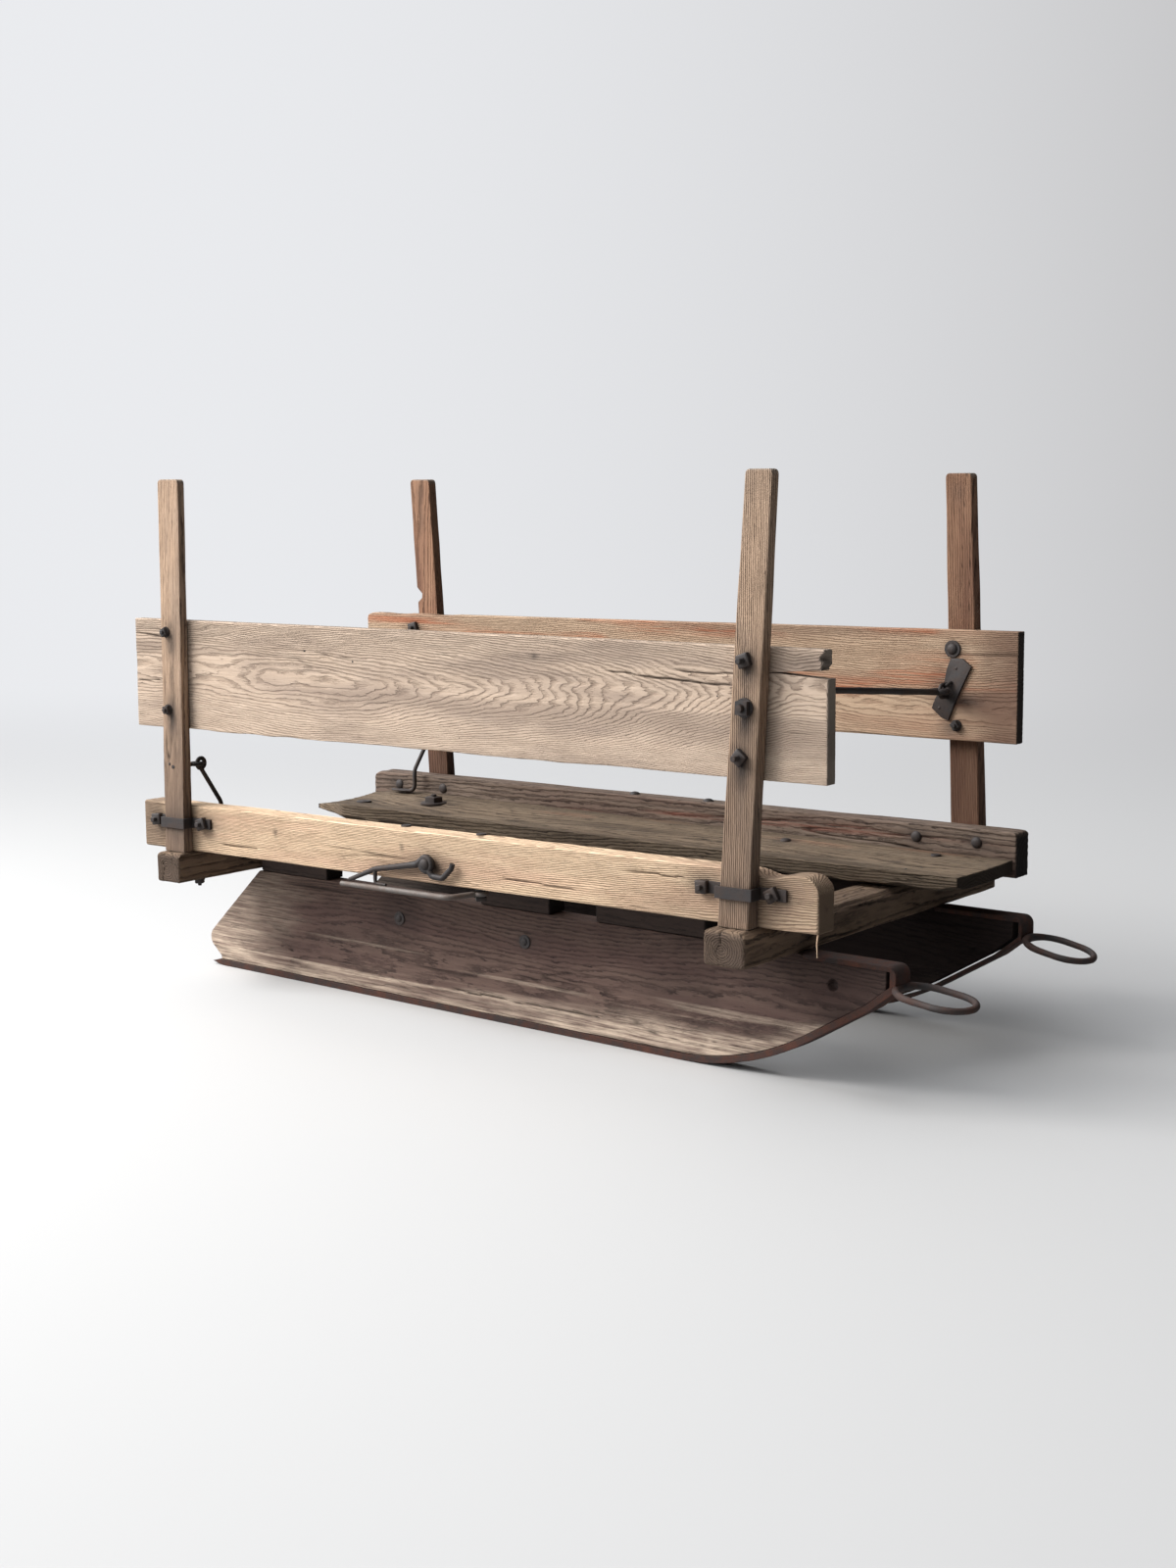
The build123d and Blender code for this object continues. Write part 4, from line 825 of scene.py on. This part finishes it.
class Forging:
    def __init__(self):
        self.verts, self.faces = [], []

    def rings(self, rings, closed=False):
        base, sides = len(self.verts), len(rings[0])
        for ring in rings:
            self.verts += [Vector(q) for q in ring]
        count = len(rings)
        for i in range(count if closed else count - 1):
            a, b = base + i * sides, base + (i + 1) % count * sides
            for j in range(sides):
                k = (j + 1) % sides
                self.faces.append((a + j, a + k, b + k, b + j))
        if not closed:
            self.faces.append(tuple(base + j for j in reversed(range(sides))))
            self.faces.append(tuple(base + (count - 1) * sides + j for j in range(sides)))

    # Round bar along a line, its radius and flatness changing with the share of its length
    def bar(self, points, radius, sides=14, closed=False, flat=None, step=2.5, side_axis=None):
        points = [tuple(q) for q in points]
        if closed:
            points.append(points[0])
        total = sum((Vector(a) - Vector(b)).length for a, b in zip(points, points[1:]))
        count = max(6, int(total / step))
        line = along_line(points, count + 1)
        line = [Vector(q) for q in (line[:-1] if closed else line)]
        size = len(line)
        tangents = []
        for i in range(size):
            ahead = (i + 1) % size if closed else min(i + 1, size - 1)
            behind = i - 1 if closed else max(i - 1, 0)
            tangents.append((line[ahead] - line[behind]).normalized())
        normal = Vector(side_axis) if side_axis else tangents[0].orthogonal()
        rings = []
        for i, (place, along) in enumerate(zip(line, tangents)):
            normal = (normal - along * normal.dot(along)).normalized()
            other = along.cross(normal)
            share = i / (size - 1)
            r = radius(share) if callable(radius) else radius
            wide, thin = flat(share) if flat else (1.0, 1.0)
            rings.append([place + (normal * math.cos(t) * wide + other * math.sin(t) * thin) * r
                          for t in (2 * math.pi * (j + 0.5) / sides for j in range(sides))])
        if not closed:
            first, last = ([line[k] + (q - line[k]) * END_SHARE + tangents[k] * reach
                            for q in rings[k]] for k, reach in ((0, -END_REACH), (-1, END_REACH)))
            rings = [first] + rings + [last]
        self.rings(rings, closed)

    # Closed coil of bar round a centre, in the plane of two axes
    def eye(self, centre, radius, bar, axes=(0, 1), count=36, sides=12):
        points = np.tile(np.array(centre, float), (count, 1))
        turn = np.linspace(0, 2 * math.pi, count, endpoint=False)
        points[:, axes[0]] += radius * np.cos(turn)
        points[:, axes[1]] += radius * np.sin(turn)
        self.bar(points, bar, sides, closed=True)

    # Levels are distances out from the place with the outline's scale there
    def stud(self, place, out, outline, levels, turn=0.0):
        out = Vector(out).normalized()
        u = out.orthogonal().normalized()
        if abs(out.z) < 0.5:
            u = out.cross(Vector((0, 0, 1))).normalized()
        v = out.cross(u)
        cos, sin = math.cos(turn), math.sin(turn)
        turned = [u * (x * cos - y * sin) + v * (x * sin + y * cos) for x, y in outline]
        self.rings([[Vector(place) + out * z + q * k for q in turned] for z, k in levels])

    def finish(self, name, node=None, matrix=RACK, material=iron["dark"], body="sled",
               slot="dark_iron"):
        piece = new_object(name, [q * MM for q in self.verts], self.faces, matrix)
        sharp = piece.modifiers.new("sharp", "EDGE_SPLIT")
        sharp.split_angle = math.radians(38)
        paint(piece, material)
        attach(piece, body)
        if node:
            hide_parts(node)


def circle(radius, sides=20):
    return [(radius * math.cos(2 * math.pi * k / sides), radius * math.sin(2 * math.pi * k / sides))
            for k in range(sides)]


def square(half, corner=0.16):
    c = half * (1 - corner)
    d = half * (1 - corner * 0.3)
    quarter = [(half, c), (d, d), (c, half)]
    out = []
    for k in range(4):
        cos, sin = (1, 0, -1, 0)[k], (0, 1, 0, -1)[k]
        out += [(x * cos - y * sin, x * sin + y * cos) for x, y in quarter]
    return out


# Kinds of fastening: washer radius, nut half width and height, stub radius and length, dome radius
KINDS = {
    "square": (0, 11.0, 9.5, 5.2, 7.0, 0),
    "small": (10.5, 7.5, 7.0, 4.0, 5.0, 0),
    "long": (0, 11.0, 9.5, 5.2, 13.0, 0),
    "great": (28.5, 13.5, 12.0, 6.5, 5.0, 0),
    "dome": (0, 0, 0, 0, 0, 11.0),
    "cap": (16.0, 0, 0, 0, 0, 10.5),
    "rosette": (13.0, 0, 0, 0, 0, 7.0),
    "disc": (9.5, 0, 0, 0, 0, 0),
    "ring": (16.0, 0, 0, 4.5, 1.2, 0),
    "nail": (0, 0, 0, 0, 0, 2.9),
}
SUNK, THREAD, TIP = 1.5, 1.8, 1.5
WASHER = ((-SUNK, 1.0), (1.8, 1.0), (2.6, 0.95))
DOME = ((0, 1.0), (0.12, 1.0), (0.5, 0.86), (0.8, 0.6), (0.97, 0.28))


def fasten(work, kind, place, out, turn=0.0):
    washer, nut, nut_height, stub, stub_length, dome = KINDS[kind]
    level = -SUNK
    if washer:
        work.stud(place, out, circle(washer, 28), WASHER)
        level = WASHER[-1][0]
    if nut:
        top = max(level, 0) + nut_height
        levels = ((level - 0.5, 1.0), (top - 1.6, 1.0), (top, 0.84))
        work.stud(place, out, square(nut), levels, turn)
        level = top
    if stub:
        levels, reach = [(level - 1, 1.0)], level
        while reach < level + stub_length - TIP:
            levels += [(reach, 1.0), (reach + THREAD / 2, 0.88), (reach + THREAD, 1.0)]
            reach += THREAD
        work.stud(place, out, circle(stub, 14), levels + [(reach + 0.8, 0.8)])
    if dome:
        base = max(level, 0) - 0.5
        work.stud(place, out, circle(dome), [(base + z * dome / 2, k) for z, k in DOME])


def stake_face(name, height, out):
    side, thick = STAKES[name][0], stake_at(name, height)[2]
    if side == "near":
        return -thick if out < 0 else 0
    return RACK_WIDTH + REST_GAP + thick if out > 0 else RACK_WIDTH


def deck_top(x, y):
    cup = DECK_CUP * (1 - CUP_LOSS * (x - DECK_START) / DECK_LENGTH)
    across = (y - DECK_SIDE) / (DECK_WIDTH / 2) - 1
    return REST_GAP + DECK_THICK + cup * across ** 2


NEAR, FAR, UP, DOWN = (0, -1, 0), (0, 1, 0), (0, 0, 1), (0, 0, -1)
STRAP_FACE = 5.2
groups = {}


def fix(kind, place, out, turn=0.0):
    key = ("near" if place[1] < 300 else "far") + ("_rear" if place[0] < 600 else "_front")
    fasten(groups.setdefault(key, Forging()), kind, place, out, turn)


for name, kind, x, z, turn in (
        ("near_rear", "small", 90, 431, 0.5), ("near_rear", "small", 92, 280, 0.2),
        ("near_rear", "nail", 91, 173, 0), ("near_front", "long", 1425, 433, 0.35),
        ("near_front", "long", 1418, 278, 0.9)):
    fix(kind, (x, stake_face(name, z, -1), z), NEAR, turn)
    if kind != "nail":
        fix("dome", (x, NEAR_BOARD[1] + REST_GAP, z), FAR)
for x, z, name in ((130, 404, "far_rear"), (1434, 409, "far_front"), (1444, 269, "far_front")):
    fix("dome", (x, stake_face(name, z, 1), z), FAR)
for kind, x, z, turn in (("square", 130, 404, 0.3), ("cap", 1434, 409, 0),
                         ("small", 1444, 269, 0.6)):
    fix(kind, (x, FAR_BOARD_Y, z), NEAR, turn)
for x, turn in ((35, 0.1), (160, 0.35), (1333, 0.05), (1467, 0.5)):
    fix("square", (x, -STRAP_FACE, 58), NEAR, turn)
    fix("dome", (x, NEAR_RAIL[1] + REST_GAP, 58), FAR)
for x, z, turn in ((101, 58, 0.2), (226, 58, 0.7), (1378, 58, 0.4), (1501, 58, 0.1)):
    fix("dome", (x, FAR_RAIL_Y + 0.8, z + 2), NEAR)
    fix("square", (x, RACK_WIDTH + REST_GAP + STRAP_FACE, z), FAR, turn)
for kind, x, y, rail in (("disc", 651, 38, NEAR_RAIL), ("disc", 828, 40, NEAR_RAIL),
                         ("dome", 718.6, 664, FAR_RAIL), ("dome", 898.5, 664, FAR_RAIL)):
    fix(kind, (x, y, rail[2] - REST_GAP), UP)
for kind, x, y, turn in (("great", 250, 580, 0.75), ("ring", 94, 530, 0), ("dome", 1125, 590, 0),
                         ("disc", 1438, 603, 0), ("nail", 1458, 452, 0), ("nail", 1471, 486, 0)):
    fix(kind, (x, y, deck_top(x, y) - 0.4), UP, turn)
fix("small", (115, 25, -58.5), DOWN, 0.4)
for key, group in groups.items():
    group.finish(f"{key}_fastenings")

work = Forging()
for x, z in ((238, 424), (439, 407), (180, 369), (325, 338), (434, 305), (685, 313), (1356, 371),
             (1285, 316), (1052, 292), (560, 392), (812, 268)):
    fasten(work, "nail", (x, 1.6, z), NEAR)
work.finish("board_nails", material=iron["nail"])
work = Forging()
fasten(work, "rosette", (511, 0.4, 164), NEAR)
fasten(work, "rosette", (827, 0.4, 161), NEAR)
work.finish("runner_bolts", matrix=SLED)


# Draft rings, thick where they are forged to the noses
RING_R, RING_POINTS = 50, 48


def make_ring(side, straight, droop, bite, height, y0, setback):
    place = SLED @ Matrix.Translation((
        (NOSE_X - setback - bite) * MM, (y0 + RUNNER_WIDTH / 2) * MM, height * MM))
    down = math.radians(droop)
    points = []
    for k in range(RING_POINTS):
        turn = math.pi + (k + 0.5) * 2 * math.pi / RING_POINTS
        ahead = RING_R * (1 + math.cos(turn)) + (straight if math.cos(turn) > 0 else 0)
        points.append((ahead * math.cos(down), RING_R * math.sin(turn), -ahead * math.sin(down)))

    def radius(share):
        lump = 1.9 * bell(min(share, 1 - share), 0, 0.075) + 0.12 * math.sin(share * 41)
        return 5.7 + lump + 0.5 * bell(share, 0.14, 0.03)

    ring = Forging()
    ring.bar(points, radius, 18, closed=True, step=2.4)
    ring.finish(f"{side}_ring", f"draft_ring_{side}", place, iron["ring"], slot="ring_iron")


make_ring("near", 33.0, 7.0, 5.12, 187.0, 0.0, 0.0)
make_ring("far", 23.0, 11.0, -3.84, 184.4, FAR_RUNNER_Y, FAR_SETBACK)

# Tie rod with its eye, and the bracket plate and staple on the far board
TIE_Z, EYE_Y, EYE_Z = 358, 631.8, 333
tie_x = stake_at("near_front", TIE_Z)[0]
near_face = stake_face("near_front", TIE_Z, -1)
rod = Forging()
rod_line = rounded([(tie_x, near_face - 20, TIE_Z), (tie_x, 46, TIE_Z), (tie_x, 151.6, 373),
                    (tie_x, EYE_Y - 13, EYE_Z)], 200, 14)
rod.bar(rod_line, lambda s: 6.0 + 0.25 * math.sin(s * 33), 14, step=5)
rod.eye((tie_x, EYE_Y, EYE_Z), 13, 5.9, count=40, sides=14)
rod.finish("tie_bar", "tie_rod")
plate = Forging()
outline = ((1432, 392), (1456, 392), (1474, 378), (1459, 347), (1443, 312), (1429, 277),
           (1414, 283), (1395, 299), (1402, 317), (1411, 332), (1420, 347), (1424, 370))
plate.stud((1434, FAR_BOARD_Y - REST_GAP, 335), NEAR, [(1434 - x, 335 - z) for x, z in outline],
           ((0, 1.0), (4.2, 1.0), (5.2, 0.97)))
staple = rounded([(tie_x, 661, 321), (tie_x, EYE_Y, 322), (tie_x, EYE_Y, 344), (tie_x, 661, 345)],
                 7.7, 8)
plate.bar(staple, 3.6, 12)
plate.bar(rounded([(tie_x - 4, 658, 322), (tie_x - 10, 650, 331), (tie_x + 5, 645, 343),
                   (tie_x + 9, 657, 349)], 6, 6), 3.0, 10)
for x, z in ((1444, 374), (1411, 300)):
    fasten(plate, "nail", (x, 657.4, z), NEAR)
plate.finish("tie_bracket", "tie_plate")

# Braces of the rear stakes, each link forged flat at its foot, and their eyebolts
BRACE_Z, BOLT_EYE = 168, 11
for side, inward, reach, lean, bend, ahead in (("near", 1, 0.232, 0.31, 0.50, (0, 1)),
                                               ("far", -1, 0.095, 0.268, 0.583, (-1, 0))):
    x, _, thick = stake_at(f"{side}_rear", BRACE_Z)
    face = 0 if side == "near" else RACK_WIDTH + REST_GAP
    eye_y = face + inward * reach * BRACE_Z
    link_y = eye_y + inward * BOLT_EYE
    bolt = Forging()
    ends = (face - inward * thick, eye_y - inward * BOLT_EYE)
    bolt.bar([(x, y, BRACE_Z) for y in ends], 3.9, 12)
    bolt.eye((x, eye_y, BRACE_Z), BOLT_EYE, 3.9)
    bolt.finish(f"{side}_eye", f"eyebolt_{side}")

    bend_y = link_y + inward * lean * BRACE_Z
    floor_z = 0.4
    if side == "far":
        floor_z += deck_top(x - 52, bend_y + 11) - REST_GAP
    toe = (x + ahead[0] * 66, bend_y + ahead[1] * 66, floor_z + 3.1)
    drop = rounded([(x, link_y, BRACE_Z - 10), (x, bend_y, bend * BRACE_Z),
                    (x, bend_y, floor_z + 4.5), toe], (24.0, 13.9), 10)
    foot_share = 1 - 56 / sum((b - a).length for a, b in zip(drop, drop[1:]))

    def flatness(share):
        t = min(max((share - foot_share) / (1 - foot_share), 0), 1)
        return (float(np.interp(t, (0, 0.25, 0.62, 0.9, 1), (1, 2.3, 2.4, 1.0, 0.35))),
                float(np.interp(t, (0, 0.2, 1), (1, 0.66, 0.6))))

    link = Forging()
    link.bar(drop, 4.4, 14, flat=flatness, side_axis=(ahead[1], -ahead[0], 0))
    link.eye((x, link_y, BRACE_Z), 10, 4.3, (1, 2))
    link.finish(f"{side}_link", f"brace_{side}")

# Latch hook: an eye coiled from the bar, an arm with a prong and a curled tail
px, pz, hook_y = 740.0, 37.0, -10.5
hook = Forging()
hook.eye((px, hook_y, pz), 12.2, 5.9, (0, 2), 40, 14)
knee = (616.6, hook_y, 15.9)
arm = rounded([(px - 6, hook_y, pz + 9.5), (px - 22, hook_y, pz - 2.5), knee, (553, hook_y, -10)],
              (12.0, 40.0), 12)
hook.bar(arm, lambda s: 6.1 - 2.2 * s ** 1.5 + 0.5 * bell(s, 0.1, 0.08), 14)
prong = rounded([knee, (616.6, hook_y, -11.1), (642.6, hook_y, -11.1)], 6.0, 8)
hook.bar(prong, lambda s: 4.2 - 1.5 * s, 12)
tail = rounded([(px + 6, hook_y, pz - 9.5), (px + 14, hook_y, pz - 21),
                (px + 38.4, hook_y, pz - 22), (px + 59, hook_y, pz - 3),
                (px + 62, hook_y, pz + 6)], (9.0, 10.0, 8.0), 8)
hook.bar(tail, lambda s: 6.1 - 1.2 * s, 14)
hook.finish("latch_arm", "latch_hook", body="latch")
pin = Forging()
fasten(pin, "dome", (px, hook_y - 5.5, pz), NEAR)
pin.stud((px, 4, pz), NEAR, circle(5.6), ((0, 1.0), (20.5, 1.0)))
pin.stud((px, 0.6, pz), NEAR, circle(11.5), ((0, 1.0), (4.4, 1.0), (5.4, 0.93)))
pin.finish("latch_bolt", "latch_pin")

# Swing bar with its coiled eye and bolt
sx, sy, sz, bar_y = 840.0, 22.0, -11.0, -44
swing = Forging()
swing.eye((sx, sy, sz), 9.8, 4.6)
swing_line = rounded([(sx - 5, sy - 8, sz), (820, bar_y, sz), (563, bar_y, sz)], 20.0, 12)
swing.bar(swing_line, lambda s: 5.3 - 0.8 * s ** 3, 14, step=4)
swing.finish("swing_arm", "swing_bar", material=iron["grey"], body="swing")
pin = Forging()
pin.stud((sx, sy, 6), DOWN, circle(5.2), ((0, 1.0), (24, 1.0)))
pin.stud((sx, sy, 0.4), DOWN, circle(10.5), ((0, 1.0), (4.6, 1.0), (5.4, 0.93)))
pin.stud((sx, sy, -17.2), DOWN, square(9.5), ((0, 1.0), (5.4, 1.0), (6.8, 0.86)))
pin.finish("swing_bolt", "swing_pin")

splinter = Forging()
splinter.bar([(1544, 7, 2), (1543, 5, -14), (1545, 3, -36)], lambda s: 1.5 - 1.1 * s, 8)
splinter.finish("splinter", material=wood["near_rail"], slot="near_rail_wood")

# Irons that keep the frame's shapes
for name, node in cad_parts.items():
    if node.hide_render:
        continue
    paint(node, iron["shoe" if "shoe" in name else "dark"])
    node.modifiers.new("merge", "WELD").merge_threshold = 0.00002
    bevel = node.modifiers.new("bevel", "BEVEL")
    bevel.width = 0.0012
    bevel.segments = 2
    bevel.limit_method = "ANGLE"


def placed(name, data, place, toward):
    piece = bpy.data.objects.new(name, data)
    piece.location = place
    piece.rotation_euler = toward.to_track_quat("-Z", "Y").to_euler()
    bpy.context.scene.collection.objects.link(piece)
    return piece


# Camera at the photograph's place
EYE = Vector((2.54499, -3.22155, 1.0))
PITCH = math.radians(7.98)
AIM = Vector((-0.6302 * math.cos(PITCH), 0.7764 * math.cos(PITCH), -math.sin(PITCH)))
lens = bpy.data.cameras.new("camera")
lens.sensor_fit = "VERTICAL"
lens.sensor_height = 36.0
lens.lens = 50.195
bpy.context.scene.camera = placed("camera", lens, EYE, AIM)

# Pale floor that fades into a backdrop; both are painted darker toward the right as painted shade,
# the light falling off
RIGHT, AHEAD, EYE_BACK = (0.776, 0.63, 0), (-0.63, 0.776, 0), 4.1
WALL_LEFT, WALL_SHADED_RIGHT = (0.825, 0.835, 0.86), (0.575, 0.575, 0.585)
FLOOR_LEFT, FLOOR_SHADED_RIGHT, BOUNCE = (0.565, 0.562, 0.558), (0.53, 0.526, 0.522), (0.30,) * 3
FLOOR_HALF = 30


# Share of the way to the painted-shade side on the right, from a bearing as the camera sees it
def rightward(n, across, ahead):
    bearing = n.math("DIVIDE", across, n.math("MAXIMUM", ahead, 0.1))
    return n.math("POWER", n.ramp(bearing, -0.27, 0.27), 2.0)


n = Nodes(bpy.data.materials.new("pale_floor"))
place = n.add("ShaderNodeNewGeometry").outputs["Position"]
ahead = n.dot(place, AHEAD)
share = rightward(n, n.dot(place, RIGHT), n.plus(ahead, EYE_BACK))
seen = n.add("ShaderNodeLightPath").outputs["Is Camera Ray"]
tone = n.mix(seen, BOUNCE, n.mix(share, FLOOR_LEFT, FLOOR_SHADED_RIGHT))
diffuse = n.add("ShaderNodeBsdfPrincipled", {
    "Base Color": tone, "Roughness": 0.7, "Specular IOR Level": 0.15})
# The backdrop glows, with painted shade toward the right
glow = n.add("ShaderNodeEmission", {"Color": n.mix(share, WALL_LEFT, WALL_SHADED_RIGHT), "Strength": 1.0})
far_away = n.add("ShaderNodeVectorMath", {0: place}, operation="LENGTH").outputs["Value"]
fade = n.math("MAXIMUM", n.ramp(ahead, 1.2, 6.5, kind="SMOOTHSTEP"),
              n.ramp(far_away, 5.0, 14.0, kind="SMOOTHSTEP"))
n.show(n.add("ShaderNodeMixShader", {0: fade, 1: diffuse.outputs[0], 2: glow.outputs[0]}))
floor = new_object("floor", [(x * FLOOR_HALF, y * FLOOR_HALF, 0) for x, y in
                             ((-1, -1), (1, -1), (1, 1), (-1, 1))],
                   [(0, 1, 2, 3)], Matrix.Identity(4))
paint(floor, n.owner)

# Soft light from the left, with little from the right
LIGHT, WINDOW, WINDOW_AIM = (-0.77, -0.42, 0.48), Vector((-2.6, -2.8, 3.3)), Vector((0, 0, 0.4))
world = bpy.data.worlds.new("world")
bpy.context.scene.world = world
n = Nodes(world, "ShaderNodeOutputWorld")
toward = n.add("ShaderNodeTexCoord").outputs["Generated"]
lit = n.add("ShaderNodeBackground", {
    "Color": (0.95, 0.97, 1.0),
    "Strength": n.ramp(n.dot(toward, LIGHT), 0.12, 1.0, 0.006, 2.9, "SMOOTHSTEP")})
# Backdrop the camera sees, with painted shade toward the right
share = rightward(n, n.dot(toward, RIGHT), n.dot(toward, AHEAD))
wall = n.add("ShaderNodeBackground", {
    "Color": n.mix(share, WALL_LEFT, WALL_SHADED_RIGHT), "Strength": 1.0})
seen = n.add("ShaderNodeLightPath").outputs["Is Camera Ray"]
n.show(n.add("ShaderNodeMixShader", {0: seen, 1: lit.outputs[0], 2: wall.outputs[0]}))

light = bpy.data.lights.new("window", "AREA")
light.shape = "RECTANGLE"
light.size, light.size_y = 2.4, 2.0
light.energy = 230
light.color = (1.0, 0.985, 0.96)
placed("window", light, WINDOW, WINDOW_AIM - WINDOW)

bpy.context.scene.view_settings.view_transform = "Standard"
